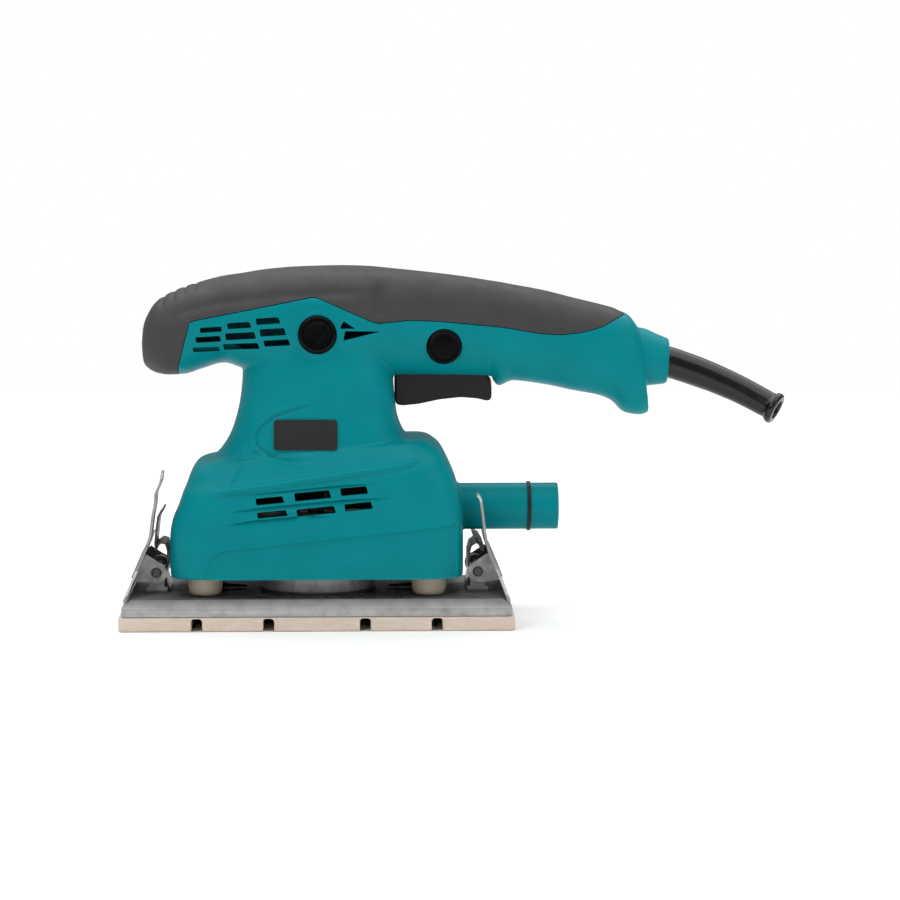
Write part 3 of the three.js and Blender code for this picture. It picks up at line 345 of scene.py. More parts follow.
def bake(obj):
    """Applies the modifiers of obj to its own mesh."""
    graph = bpy.context.evaluated_depsgraph_get()
    graph.update()
    made = bpy.data.meshes.new_from_object(obj.evaluated_get(graph))
    obj.modifiers.clear()
    obj.data = made
    return obj


def discard(*objects):
    """Removes scratch objects."""
    for obj in objects:
        bpy.data.objects.remove(obj)


def combine(base, others, operation):
    """Adds, cuts or intersects base with the others, which are used up."""
    if len(others) > 2:
        others = [united(others)]
    for other in others:
        modifier = base.modifiers.new("combine", "BOOLEAN")
        modifier.operation = operation
        modifier.solver = "MANIFOLD"
        modifier.object = other
        bake(base)
        discard(other)
    return base


def united(shapes):
    """One shape from many small ones, so that a large mesh is cut only once."""
    while len(shapes) > 1:
        pairs = [combine(a, [b], "UNION") for a, b in zip(shapes[::2], shapes[1::2])]
        shapes = pairs + (shapes[-1:] if len(shapes) % 2 else [])
    return shapes[0]


def duplicate(obj, name):
    """A second object with its own copy of the mesh."""
    made = obj.copy()
    made.data = obj.data.copy()
    made.name = name
    bpy.context.scene.collection.objects.link(made)
    return made


def prism(name, outline, axis, start, end):
    """Flat outline pushed along an axis. The outline holds the other two coordinates in x, y, z order."""
    rings = []
    for depth in (start, end):
        ring = []
        for a, b in outline:
            point = [a, b]
            point.insert(axis, depth)
            ring.append(point)
        rings.append(ring)
    return loft(name, rings)


def block(name, low, high):
    """Box between two corners."""
    outline = [(low[0], low[1]), (high[0], low[1]), (high[0], high[1]), (low[0], high[1])]
    return prism(name, outline, 2, low[2], high[2])


def round_outline(centre, radius, count=64):
    turn = 2 * math.pi / count
    angles = [i * turn for i in range(count)]
    return [(centre[0] + radius * math.cos(a), centre[1] + radius * math.sin(a)) for a in angles]


def rod(name, centre, radius, axis, start, end, count=64):
    """Straight round bar along an axis."""
    return prism(name, round_outline(centre, radius, count), axis, start, end)


def turned(name, profile, axis, centre, count=96):
    """Turned solid: profile is [radius, distance along the axis]."""
    rings = []
    for radius, depth in profile:
        ring = []
        for a, b in round_outline(centre, max(radius, TINY), count):
            point = [a, b]
            point.insert(axis, depth)
            ring.append(point)
        rings.append(ring)
    return loft(name, rings)


def rounded(outline, radius, steps=5):
    """Outline with each corner replaced by a short arc."""
    made = []
    count = len(outline)
    for i in range(count):
        before, here, after = (np.array(outline[(i + k) % count], float) for k in (-1, 0, 1))
        into, out = before - here, after - here
        reach = min(radius, CORNER_SHARE * np.linalg.norm(into), CORNER_SHARE * np.linalg.norm(out))
        start = here + into / np.linalg.norm(into) * reach
        end = here + out / np.linalg.norm(out) * reach
        for t in np.linspace(0, 1, steps):
            made.append(tuple((1 - t) ** 2 * start + 2 * t * (1 - t) * here + t * t * end))
    return made


def remesh(obj, voxel, smoothing):
    """Even quad mesh over the same shape, with soft fillets from the smoothing."""
    modifier = obj.modifiers.new("remesh", "REMESH")
    modifier.mode = "VOXEL"
    modifier.voxel_size = voxel * MM
    soften = obj.modifiers.new("soften", "SMOOTH")
    soften.factor = SMOOTHING
    soften.iterations = smoothing
    return bake(obj)


def shade(obj, angle):
    """Smooth shading with sharp edges kept above the angle in degrees."""
    mesh = obj.data
    mesh.polygons.foreach_set("use_smooth", [True] * len(mesh.polygons))
    mesh.set_sharp_from_angle(angle=math.radians(angle))


def soft_edge(obj, width, segments=3, angle=35):
    """A rounded edge as a modifier, so the CAD mesh under it stays as it is."""
    bevel = obj.modifiers.new("edge", "BEVEL")
    bevel.width = width * MM
    bevel.segments = segments
    bevel.limit_method = "ANGLE"
    bevel.angle_limit = math.radians(angle)
    bevel.harden_normals = False
    bevel.use_clamp_overlap = True


# ---- smooth curves through the tables ----
def monotone(x, table, at):
    """Monotone cubic interpolation of the columns of table, given at x, for the stations at."""
    x = np.asarray(x, float)
    table = np.asarray(table, float)
    step = np.diff(x)[:, None]
    rise = np.diff(table, axis=0) / step
    slope = np.zeros_like(table)
    slope[0], slope[-1] = rise[0], rise[-1]
    same = rise[:-1] * rise[1:] > 0
    weight_a = 2 * step[1:] + step[:-1]
    weight_b = step[1:] + 2 * step[:-1]
    with np.errstate(divide="ignore", invalid="ignore"):
        mean = (weight_a + weight_b) / (weight_a / rise[:-1] + weight_b / rise[1:])
    slope[1:-1] = np.where(same, mean, 0)
    at = np.asarray(at, float)
    k = np.clip(np.searchsorted(x, at, side="right") - 1, 0, len(x) - 2)
    t = ((at - x[k]) / (x[k + 1] - x[k]))[:, None]
    h = (x[k + 1] - x[k])[:, None]
    return (
        (2 * t ** 3 - 3 * t ** 2 + 1) * table[k]
        + (t ** 3 - 2 * t ** 2 + t) * h * slope[k]
        + (3 * t ** 2 - 2 * t ** 3) * table[k + 1]
        + (t ** 3 - t ** 2) * h * slope[k + 1]
    )


def refined(table, per_gap):
    """The table with smooth rows added between the given ones."""
    table = np.asarray(table, float)
    travel = np.abs(np.diff(table[:, :5], axis=0)).sum(axis=1) + 1e-6
    x = np.concatenate([[0], np.cumsum(travel)])
    at = [np.linspace(low, high, per_gap, endpoint=False) for low, high in zip(x[:-1], x[1:])]
    return monotone(x, table, np.append(np.concatenate(at), x[-1]))


def super_ellipse(half_a, half_b, power, count):
    """Closed outline between an ellipse (power 2) and a rectangle (high powers)."""
    angle = 2 * np.pi * (np.arange(count) + .5) / count
    c, s = np.cos(angle), np.sin(angle)
    a = half_a * np.sign(c) * np.abs(c) ** (2 / power)
    b = half_b * np.sign(s) * np.abs(s) ** (2 / power)
    return even_ring(np.stack([a, b], axis=1), count)


def even_ring(ring, count):
    """The same closed outline with evenly spaced points."""
    dense = np.vstack([ring, ring[:1]])
    travel = np.concatenate([[0], np.cumsum(np.linalg.norm(np.diff(dense, axis=0), axis=1))])
    at = np.linspace(0, travel[-1], count, endpoint=False)
    return np.stack([np.interp(at, travel, dense[:, k]) for k in (0, 1)], axis=1)


# ---- housing ----
def body_solid(name, inset, per_gap):
    """Skirt and neck. An inset one is the hollow: it stays under the shoulder and is open below."""
    rings = []
    for height, slope, left, right, half, power in refined(BODY_RINGS, per_gap):
        flat = super_ellipse((right - left) / 2 - inset, half - inset, power, BODY_POINTS)
        x = flat[:, 0] + (left + right) / 2
        drop = inset * ROOF_SHARE if height > SHOULDER_HEIGHT else 0
        rings.append(np.stack([x, flat[:, 1], height + slope * x - drop], axis=1))
    if inset > 0:
        rings.insert(0, rings[0] - [0, 0, OPEN_BELOW])
    return loft(name, rings)


def top_ring(row, inset):
    """Section of the grip and handle across X."""
    x, top, bottom, half, power, lean = row
    middle = (top + bottom) / 2
    flat = super_ellipse(half - inset, (top - bottom) / 2 - inset, power, TOP_POINTS)
    height = middle + flat[:, 1]
    return np.stack([x + lean * (height - LEAN_PIVOT), flat[:, 0], height], axis=1)


def top_solid(name, inset, per_gap):
    """Grip and handle. An inset one is the hollow inside, with its ends drawn in as well."""
    rows = refined(TOP_RINGS, per_gap)
    first, last = rows[0][0], rows[-1][0]
    rings = []
    for row in rows:
        row = row.copy()
        row[0] = min(max(row[0], first + inset + (row[0] - first) * NOSE_SHARE), last - inset)
        rings.append(top_ring(row, min(inset, (row[1] - row[2]) / 2 - LEAST_HALF)))
    return loft(name, rings)


def collar_solid():
    """Tapered collar round the bend relief."""
    rows = [(x, top, bottom, half, COLLAR_POWER, COLLAR_LEAN) for x, top, bottom, half in COLLAR_RINGS]
    return loft("collar", [top_ring(row, 0) for row in refined(rows, COLLAR_STEPS)])


def polyline_distance(x, z, line):
    """Distance in side view to a polyline, positive above it or to its left, and the share along it."""
    line = np.asarray(line, float)
    best = np.full(len(x), 1e9)
    sign = np.ones(len(x))
    along = np.zeros(len(x))
    lengths = np.linalg.norm(np.diff(line, axis=0), axis=1)
    start = np.concatenate([[0], np.cumsum(lengths)])
    for i, length in enumerate(lengths):
        a, d = line[i], (line[i + 1] - line[i]) / length
        t = np.clip((x - a[0]) * d[0] + (z - a[1]) * d[1], 0, length)
        px, pz = x - a[0] - t * d[0], z - a[1] - t * d[1]
        distance = np.hypot(px, pz)
        side = np.where(d[0] * pz - d[1] * px >= 0, 1, -1)
        closer = distance < best
        best = np.where(closer, distance, best)
        sign = np.where(closer, side, sign)
        along = np.where(closer, (start[i] + t) / start[-1], along)
    return best * sign, along


def ease(value, start, reach):
    """Rises smoothly from 0 at the start to 1 over the reach, or falls to it if the reach is negative."""
    t = np.clip((value - start) / reach, 0, 1)
    return t * t * (3 - 2 * t)


def bell(value, middle, width):
    """1 at the middle, falling away over the width on both sides."""
    return np.exp(-((value - middle) / width) ** 2)


def side_detail(obj):
    """Raises the styling lines of the moulding by small moves of the surface along its normal."""
    co = coordinates(obj) / MM
    normal = vertex_normals(obj)
    x, y, z = co.T
    facing_side = np.abs(normal[:, 1])
    move = np.zeros(len(co))

    for line, fade_in, fade_out, waves in STYLING:
        distance, along = polyline_distance(x, z, line)
        shown = ease(along, 0, fade_in) * ease(along, 1, -fade_out)
        for height, offset, width in waves:
            move += height * bell(distance, offset, width) * shown

    distance, along = polyline_distance(x, z, STEP_LINE)
    move -= STEP["depth"] * ease(distance, STEP["start"], -STEP["run"]) * (z < STEP["top"])
    move += STEP["lip"] * bell(distance, STEP["lip_offset"], STEP["lip_width"])
    move *= ease(facing_side, *SIDE_FACING) * (x < STYLING_END)

    on_top = ease(normal[:, 2], *TOP_FACING) * (z > RIDGE["above"]) * ease(np.abs(y), *RIDGE["ends"])
    for ridge in RIDGE_X:
        move -= RIDGE["depth"] * bell(x, ridge, RIDGE["width"]) * on_top
    dimple = bell(x, DIMPLE["x"], DIMPLE["width"]) * ease(z, *DIMPLE["bottom"]) * ease(z, *DIMPLE["top"])
    move -= DIMPLE["depth"] * dimple * ease(facing_side, *DIMPLE["facing"])
    set_coordinates(obj, (co + normal * move[:, None]) * MM)


def slot_outline(left, right, bottom, top, rise, slant):
    """Four corners of a rising slot in side view."""
    lift = (right - left) * rise
    return [(left, bottom), (right, bottom + lift), (right - slant, top + lift), (left - slant * .5, top)]


def slot_cutters():
    """Cutters for the air slots, through each side wall only."""
    cutters = []
    upper = [slot_outline(*row) for row in UPPER_SLOTS] + UPPER_TRIANGLES
    lower = [slot_outline(*row) for row in LOWER_SLOTS]
    for outlines, start in ((upper, UPPER_SLOT_START), (lower, LOWER_SLOT_START)):
        for outline in outlines:
            shape = rounded(outline, SLOT_CORNER)
            cutters.append(prism("slot", shape, 1, start, OUTSIDE))
            cutters.append(prism("slot", shape, 1, -OUTSIDE, -start))
    return cutters


def flute_cutters():
    """Long wedges: a steep upper wall and a floor that runs out to the surface below it."""
    cutters = []
    for side in (-1, 1):
        for (x0, z0), (x1, z1) in FLUTES:
            rings = []
            for share in FLUTE_STATIONS:
                x, z = x0 + (x1 - x0) * share, z0 + (z1 - z0) * share
                level = min(1, min(share, 1 - share) / FLUTE["run_out"])
                face = FLUTE["face"] - FLUTE["depth"] * level
                half = FLUTE["half"] * (FLUTE["tip"] + (1 - FLUTE["tip"]) * level)
                section = [(face, z + half), (FLUTE["outside"], z + half + FLUTE["draft"]),
                           (FLUTE["outside"], z - half), (FLUTE["face"], z - half)]
                rings.append([(x, side * y, height) for y, height in section])
            cutters.append(loft("flute", rings))
    return cutters


def mirrored(side, near, far):
    """The two Y limits of a stretch on one side, lower first."""
    return sorted((side * near, side * far))


def housing_cutters():
    """Everything that is drilled or milled out of the housing."""
    cutters = slot_cutters() + flute_cutters()
    brush = (BRUSH["x"], BRUSH["z"])
    for side in (-1, 1):
        hole = mirrored(side, CAP_HOLE_START, OUTSIDE)
        passage = mirrored(side, BRUSH_PASSAGE["start"], BRUSH_PASSAGE["end"])
        cutters.append(rod("cap_hole", brush, BRUSH["cap"] + ROUND_PLAY, 1, *hole))
        cutters.append(rod("brush_passage", brush, BRUSH_PASSAGE["radius"], 1, *passage, 48))
    spout = (SPOUT["bore_start"], SPOUT["end"] + 5)
    collar = (COLLAR_BORE["start"], COLLAR_BORE["end"])
    cutters.append(rod("spout_bore", (0, SPOUT["z"]), SPOUT["bore"], 0, *spout))
    cutters.append(rod("collar_bore", (0, COLLAR_BORE["z"]), COLLAR_BORE["radius"], 0, *collar))
    cutters.append(block("trigger_hole", *TRIGGER_HOLE))
    lock = (LOCK["x"], LOCK["z"])
    cutters.append(rod("lock_hole", lock, LOCK["radius"] + ROUND_PLAY, 1, -OUTSIDE, LOCK_HOLE_END))
    cutters.append(rod("lock_stem", lock, LOCK["stem"] + STEM_PLAY, 1, *STEM_HOLE))
    for x, z, head in SCREWS:
        cutters.append(rod("screw_recess", (x, z), SCREW["recess"], 1, head, OUTSIDE, 48))
        cutters.append(rod("screw_hole", (x, z), SCREW["hole"], 1, -head / 2, head + 1, 24))
    return cutters


def grip_region(name, shift):
    """Everything above the grip edge, in side view."""
    front = [(x + shift, z) for x, z in GRIP_EDGE[:FRONT_POINTS]]
    below = [(x, z - shift) for x, z in GRIP_EDGE[FRONT_POINTS:]]
    return prism(name, [(-120, 100), *front, *below, (170, 220), (-120, 220)], 1, -FAR, FAR)


def outer_solid():
    """The whole outside shape of the housing and grip as one even mesh with moulded fillets."""
    skin = body_solid("skin", 0, BODY_STEPS)
    bosses = []
    for side in (-1, 1):
        face = side * BRUSH["boss_face"]
        profile = [(0, 0), (BRUSH["boss"], 0), (BRUSH["boss"], face), (0, face)]
        bosses.append(turned("boss", profile, 1, (BRUSH["x"], BRUSH["z"])))
    radius = SPOUT["radius"] + SPOUT["allowance"]
    spout = rod("spout", (0, SPOUT["z"]), radius, 0, SPOUT["root"], SPOUT["end"], 96)
    combine(skin, [top_solid("top", 0, TOP_STEPS), collar_solid(), spout, *bosses], "UNION")
    remesh(skin, VOXEL, FILLET_STEPS)
    side_detail(skin)
    return skin


def hollow():
    """The space inside the housing."""
    inner = body_solid("inner", WALL, HOLLOW_STEPS)
    combine(inner, [block("gap", *NECK_TOP)], "DIFFERENCE")
    combine(inner, [top_solid("inner_top", RUBBER + RUBBER_GAP + WALL, HOLLOW_STEPS)], "UNION")
    return inner


def inner_bosses(limit):
    """Brush bosses, and the webs and screw bosses, which are cut to the inside of the shape given."""
    made = []
    for side in (-1, 1):
        boss = mirrored(side, INNER_BOSS["start"], INNER_BOSS["end"])
        made.append(rod("boss", (BRUSH["x"], BRUSH["z"]), BRUSH["boss"], 1, *boss))
    clipped = [block("web", (x0, -WEB, z0), (x1, WEB, WEB_TOP)) for x0, x1, z0 in WEBS]
    for x, z, head in SCREWS:
        reach = head + SCREW["boss_back"]
        clipped.append(rod("screw_boss", (x, z), SCREW["boss"], 1, -reach, reach, 48))
    made.append(united([combine(piece, [duplicate(limit, "clip")], "INTERSECT") for piece in clipped]))
    discard(limit)
    return made


def half_space(low, high):
    """Box that keeps what lies between two Y values."""
    return block("half", (-200, low, -50), (260, high, 260))


def housing_pieces():
    """The two housing halves and the two halves of the rubber grip."""
    skin = outer_solid()
    grip = duplicate(skin, "grip")
    core = duplicate(skin, "core")
    shrink(core, RUBBER)
    combine(grip, [core], "DIFFERENCE")
    combine(grip, [grip_region("above", 0)], "INTERSECT")

    under = duplicate(skin, "under")
    shrink(under, RUBBER + RUBBER_GAP)
    limit = duplicate(under, "limit")
    notch = combine(grip_region("notch", RUBBER_GAP + GROOVE), [under], "DIFFERENCE")
    combine(skin, [notch, hollow()], "DIFFERENCE")
    combine(skin, inner_bosses(limit), "UNION")
    combine(skin, housing_cutters(), "DIFFERENCE")

    for side, low, high in (("left", -FAR, -GAP), ("right", GAP, FAR)):
        shell = duplicate(skin, f"{side}_shell")
        rubber = duplicate(grip, f"{side}_rubber")
        for piece, node, slot in ((shell, "housing", "teal_plastic"), (rubber, "grip", "grip_rubber")):
            combine(piece, [half_space(low, high)], "INTERSECT")
            shade(piece, 35)
            finish_piece(piece, "housing", slot, f"{side}_{node}")
    discard(skin, grip)


def shrink(obj, depth):
    """Moves the surface inward along its normals."""
    set_coordinates(obj, coordinates(obj) - vertex_normals(obj) * depth * MM)


def finish_piece(obj, body, slot, *nodes):
    """Paints a piece in its slot's material, ties it to its body and hides the CAD nodes it stands for."""
    paint(obj, slot)
    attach(obj, body)
    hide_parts(*nodes)


# ---- fittings ----
def brush_caps():
    """Caps with a raised rim, a ringed face and a driver slot at a slant."""
    face = BRUSH["face"]
    turn = Matrix.Rotation(math.radians(CAP_SLOT["turn"]), 3, "Y")
    reach, half = CAP_SLOT["reach"], CAP_SLOT["half"]
    flat = ((-reach, -half), (reach, -half), (reach, half), (-reach, half))
    corners = [turn @ Vector((a, 0, b)) for a, b in flat]
    outline = [(BRUSH["x"] + c.x, BRUSH["z"] + c.z) for c in corners]
    for side, name in ((-1, "left"), (1, "right")):
        profile = [(0, side * BRUSH["seat"]), (BRUSH["cap"], side * BRUSH["seat"])]
        profile += [(radius, side * (face - depth)) for radius, depth in CAP_PROFILE]
        piece = turned(f"{name}_cap", profile, 1, (BRUSH["x"], BRUSH["z"]))
        slot = prism("driver", outline, 1, *mirrored(side, face - CAP_SLOT["depth"], face + 1))
        combine(piece, [slot], "DIFFERENCE")
        shade(piece, 30)
        soft_edge(piece, .12, 2)
        finish_piece(piece, "housing", "black_plastic", f"{name}_brush_cap")


def lock_button():
    """Round button with a slightly domed face and a soft rim."""
    profile = [(0, -LOCK["stem_end"]), (LOCK["stem"], -LOCK["stem_end"]), (LOCK["stem"], -LOCK["back"]),
               (LOCK["radius"], -LOCK["back"])]
    profile += [(radius, depth - LOCK["face"]) for radius, depth in LOCK_PROFILE]
    piece = turned("lock_cap", profile, 1, (LOCK["x"], LOCK["z"]))
    shade(piece, 30)
    finish_piece(piece, "lock_button", "black_plastic", "lock_button")


def trigger():
    """Finger lever with rounded edges and a lightly pebbled face."""
    outline = rounded(TRIGGER_SIDE, 1.2, 4)
    piece = prism("trigger_lever", outline, 1, -TRIGGER_HALF, TRIGGER_HALF)
    shade(piece, 40)
    soft_edge(piece, 1.3, 4, 50)
    finish_piece(piece, "trigger", "trigger_plastic", "trigger")


def centre_line(points, count):
    """Catmull-Rom curve through the points, evenly spaced."""
    p = np.asarray(points, float)
    p = np.vstack([2 * p[0] - p[1], p, 2 * p[-1] - p[-2]])
    dense = []
    for i in range(1, len(p) - 2):
        a, b, c, d = p[i - 1:i + 3]
        for t in np.linspace(0, 1, 24, endpoint=False):
            square = (2 * a - 5 * b + 4 * c - d) * t ** 2
            cube = (3 * b - a - 3 * c + d) * t ** 3
            dense.append(.5 * (2 * b + (c - a) * t + square + cube))
    dense.append(p[-2])
    dense = np.array(dense)
    travel = np.concatenate([[0], np.cumsum(np.linalg.norm(np.diff(dense, axis=0), axis=1))])
    at = np.linspace(0, travel[-1], count)
    return np.stack([np.interp(at, travel, dense[:, k]) for k in range(3)], axis=1)


def cord_guard():
    """Glossy bend relief: tapered, hollow, with a flared and rounded mouth."""
    count, sides = 160, 64
    line = centre_line(GUARD_PATH, count)
    tangent = np.gradient(line, axis=0)
    tangent /= np.linalg.norm(tangent, axis=1)[:, None]
    across = np.cross([0, 1, 0], tangent)
    across /= np.linalg.norm(across, axis=1)[:, None]
    side = np.cross(tangent, across)
    share = np.linspace(0, 1, count)
    radius = np.interp(share, *zip(*GUARD_OUTER))
    angle = 2 * np.pi * np.arange(sides) / sides

    def ring(k, r):
        return line[k] + r * (np.cos(angle)[:, None] * across[k] + np.sin(angle)[:, None] * side[k])

    rings = [ring(k, radius[k]) for k in range(count)]
    rings += [ring(count - 1, r) for r in GUARD_LIP]
    rings += [ring(k, GUARD_BORE) for k in range(count - 2, 1, -4)]
    piece = loft("bend_relief", rings)
    shade(piece, 50)
    finish_piece(piece, "housing", "guard_rubber", "cord_guard")


def pad_ring(z, inset, corner, steps=6):
    """Outline of the pad at one height, with round corners."""
    middle_x, middle_y = PAD["length"] / 2 - inset - corner, PAD["width"] / 2 - inset - corner
    ring = []
    for sx, sy, start in ((1, 1, 0), (-1, 1, 90), (-1, -1, 180), (1, -1, 270)):
        for i in range(steps + 1):
            angle = math.radians(start + 90 * i / steps)
            x, y = sx * middle_x + corner * math.cos(angle), sy * middle_y + corner * math.sin(angle)
            ring.append((x, y, z))
    return ring


def sanding_pad():
    """Dense felt and foam pad: grooved underneath, drilled for dust, its cut edges slightly uneven."""
    half_x, half_y, height = PAD["length"] / 2, PAD["width"] / 2, PAD["height"]
    pad = loft("pad", [pad_ring(*row) for row in PAD_RINGS])
    half_groove, groove_top = PAD["groove"] / 2, height - PAD["web"]
    cutters = []
    for x in GROOVE_X:
        cutters.append(block("groove", (x - half_groove, -60, -1), (x + half_groove, 60, groove_top)))
    for x, y in DUST_HOLES:
        for sx in (-1, 1):
            for sy in (-1, 1):
                cutters.append(rod("dust", (sx * x, sy * y), DUST_RADIUS, 2, -2, 10, 32))
    combine(pad, cutters, "DIFFERENCE")
    remesh(pad, PAD_VOXEL, 2)
    co = coordinates(pad) / MM
    wave = np.sin(co[:, 0] * .9 + 2 * np.sin(co[:, 2] * 1.3)) * np.sin(co[:, 2] * 1.7 + co[:, 0] * .21)
    co -= vertex_normals(pad) * UNEVEN * (1 + wave[:, None])
    co[:, 0] = np.clip(co[:, 0], -half_x, half_x)
    co[:, 1] = np.clip(co[:, 1], -half_y, half_y)
    co[:, 2] = np.clip(co[:, 2], 0, height)
    set_coordinates(pad, co * MM)
    shade(pad, 50)
    finish_piece(pad, "platen", "pad_felt", "sanding_pad")


def legs():
    """Pale rubber posts with a rounded foot."""
    for end, sx in (("front", -1), ("rear", 1)):
        for side, sy in (("left", -1), ("right", 1)):
            piece = turned(f"{end}_{side}_post", LEG_PROFILE, 2, (sx * LEG["x"], sy * LEG["y"]), 48)
            shade(piece, 40)
            finish_piece(piece, "platen", "leg_rubber", f"{end}_{side}_leg")


# ---- materials ----
def linear(red, green, blue):
    """Screen colour, 0 to 255, as the linear values that Blender mixes."""
    def one(value):
        value /= 255
        return value / 12.92 if value <= .04045 else ((value + .055) / 1.055) ** 2.4
    return (one(red), one(green), one(blue), 1)


def grey(value):
    return (value, value, value, 1)


def tinted(colour, *factors):
    """Colour times one factor, or times one for each channel, at most 1."""
    if len(factors) == 1:
        factors = factors * 3
    return tuple(min(1, c * f) for c, f in zip(colour[:3], factors)) + (1,)


class Recipe:
    """Node tree of one material, on object coordinates in millimetres."""

    def __init__(self, name, roughness, metallic=0.0, coat=0.0, sheen=0.0, specular=.5):
        self.material = bpy.data.materials.new(name)
        self.material.use_nodes = True
        self.tree = self.material.node_tree
        self.shader = self.tree.nodes["Principled BSDF"]
        self.shader.inputs["Roughness"].default_value = roughness
        self.shader.inputs["Metallic"].default_value = metallic
        self.shader.inputs["Specular IOR Level"].default_value = specular
        self.shader.inputs["Coat Weight"].default_value = coat
        self.shader.inputs["Coat Roughness"].default_value = .12
        self.shader.inputs["Sheen Weight"].default_value = sheen
        self.shader.inputs["Sheen Roughness"].default_value = .5
        coordinates_node = self.tree.nodes.new("ShaderNodeTexCoord")
        self.space = self.tree.nodes.new("ShaderNodeMapping")
        self.space.inputs["Scale"].default_value = (1 / MM, 1 / MM, 1 / MM)
        self.link(coordinates_node.outputs["Object"], self.space.inputs["Vector"])
        self.height = None

    def link(self, output, socket):
        self.tree.links.new(output, socket)

    def stretched(self, factors):
        node = self.tree.nodes.new("ShaderNodeMapping")
        node.inputs["Scale"].default_value = factors
        self.link(self.space.outputs[0], node.inputs["Vector"])
        return node.outputs[0]

    def noise(self, size, detail=3.0, rough=.5, space=None):
        """Cloudy pattern with features about size millimetres across."""
        node = self.tree.nodes.new("ShaderNodeTexNoise")
        node.inputs["Scale"].default_value = 1 / size
        node.inputs["Detail"].default_value = detail
        node.inputs["Roughness"].default_value = rough
        self.link(space or self.space.outputs[0], node.inputs["Vector"])
        return node.outputs["Fac"]

    def cells(self, size, feature="F1"):
        node = self.tree.nodes.new("ShaderNodeTexVoronoi")
        node.feature = feature
        node.inputs["Scale"].default_value = 1 / size
        self.link(self.space.outputs[0], node.inputs["Vector"])
        return node.outputs["Distance"]

    def ramp(self, value, stops):
        """Colour ramp: stops are (position, colour)."""
        node = self.tree.nodes.new("ShaderNodeValToRGB")
        elements = node.color_ramp.elements
        while len(elements) < len(stops):
            elements.new(.5)
        for element, (position, colour) in zip(elements, stops):
            element.position = position
            element.color = colour
        self.link(value, node.inputs["Fac"])
        return node.outputs["Color"]

    def span(self, value, low_in, high_in, low, high):
        node = self.tree.nodes.new("ShaderNodeMapRange")
        for key, number in (("From Min", low_in), ("From Max", high_in), ("To Min", low), ("To Max", high)):
            node.inputs[key].default_value = number
        self.link(value, node.inputs["Value"])
        return node.outputs["Result"]

    def mix(self, factor, first, second, mode="MIX"):
        node = self.tree.nodes.new("ShaderNodeMix")
        node.data_type = "RGBA"
        node.blend_type = mode
        for value, key in ((factor, "Factor"), (first, "A"), (second, "B")):
            sockets = [s for s in node.inputs if s.name == key and s.enabled]
            socket = sockets[0]
            if isinstance(value, (int, float, tuple)):
                socket.default_value = value
            else:
                self.link(value, socket)
        return [s for s in node.outputs if s.enabled][0]

    def colour(self, output):
        self.link(output, self.shader.inputs["Base Color"])

    def roughness(self, output):
        self.link(output, self.shader.inputs["Roughness"])

    def bump(self, value, depth, strength=1.0):
        """Fine relief, depth in millimetres, added to what is there."""
        node = self.tree.nodes.new("ShaderNodeBump")
        node.inputs["Strength"].default_value = strength
        node.inputs["Distance"].default_value = depth * MM
        self.link(value, node.inputs["Height"])
        if self.height is not None:
            self.link(self.height, node.inputs["Normal"])
        self.height = node.outputs["Normal"]
        self.link(self.height, self.shader.inputs["Normal"])

    def height_above(self, low, high):
        """0 at the low height and 1 at the high one, in millimetres."""
        parts = self.tree.nodes.new("ShaderNodeSeparateXYZ")
        self.link(self.space.outputs[0], parts.inputs[0])
        return self.span(parts.outputs["Z"], low, high, 0, 1)

    def worn_and_highlit_edges(self, base, pale, low=.52, high=.6, strength=.5):
        """Paler colour on the convex edges, as edge wear and a painted edge highlight."""
        geometry = self.tree.nodes.new("ShaderNodeNewGeometry")
        edge = self.span(geometry.outputs["Pointiness"], low, high, 0, strength)
        return self.mix(edge, base, pale)


def moulded(name, colour, roughness, variation, grain, depth, specular=.5, coat=0.0, pale=None):
    """Moulded plastic or rubber: faint cloudy colour, fine spark texture, uneven gloss."""
    recipe = Recipe(name, roughness, coat=coat, specular=specular)
    clouds = [(.3, tinted(colour, 1 - variation)), (.7, tinted(colour, 1 + variation))]
    base = recipe.ramp(recipe.noise(18, 4), clouds)
    # Paler convex edges on the teal plastic and the grip: edge wear and a painted edge highlight
    if pale is not None:
        base = recipe.worn_and_highlit_edges(base, pale)
    recipe.colour(base)
    recipe.roughness(recipe.span(recipe.noise(6, 5), .3, .7, roughness - .07, roughness + .07))
    recipe.bump(recipe.noise(grain, 2, .6), depth)
    recipe.bump(recipe.noise(9, 2), .05, .35)
    return recipe.material


def cast_metal(name, colour):
    """Rough cast alloy: cloudy stains, pits, a dull darker top and a paler rim and bosses set by height as
    painted shade and painted light, and paler edges from wear and a painted highlight.
    """
    recipe = Recipe(name, .5, metallic=.35, specular=.35)
    shades = [(.3, tinted(colour, .55)), (.5, colour), (.75, tinted(colour, 1.35))]
    stains = recipe.ramp(recipe.noise(6, 6, .65), shades)
    lines = recipe.noise(5, 5, .6, recipe.stretched((.12, .3, 2.2)))
    streak = recipe.ramp(lines, [(.35, grey(.6)), (.6, grey(1))])
    # Painted shade and painted light by height: darker top of the plate, brighter rim and bosses
    level = recipe.height_above(*CAST_SHADING_HEIGHTS)
    tone = recipe.ramp(level, [(share, grey(value)) for share, value in CAST_PAINTED_SHADES])
    body = recipe.mix(1.0, recipe.mix(.55, stains, streak, "MULTIPLY"), tone, "MULTIPLY")
    # Paler convex edges: edge wear and a painted edge highlight
    recipe.colour(recipe.worn_and_highlit_edges(body, grey(.55), .51, .6, .35))
    recipe.roughness(recipe.span(recipe.noise(3, 5), .3, .7, .38, .66))
    recipe.bump(recipe.noise(.9, 5, .7), .12, .7)
    recipe.bump(recipe.cells(2.6), .08, .3)
    return recipe.material


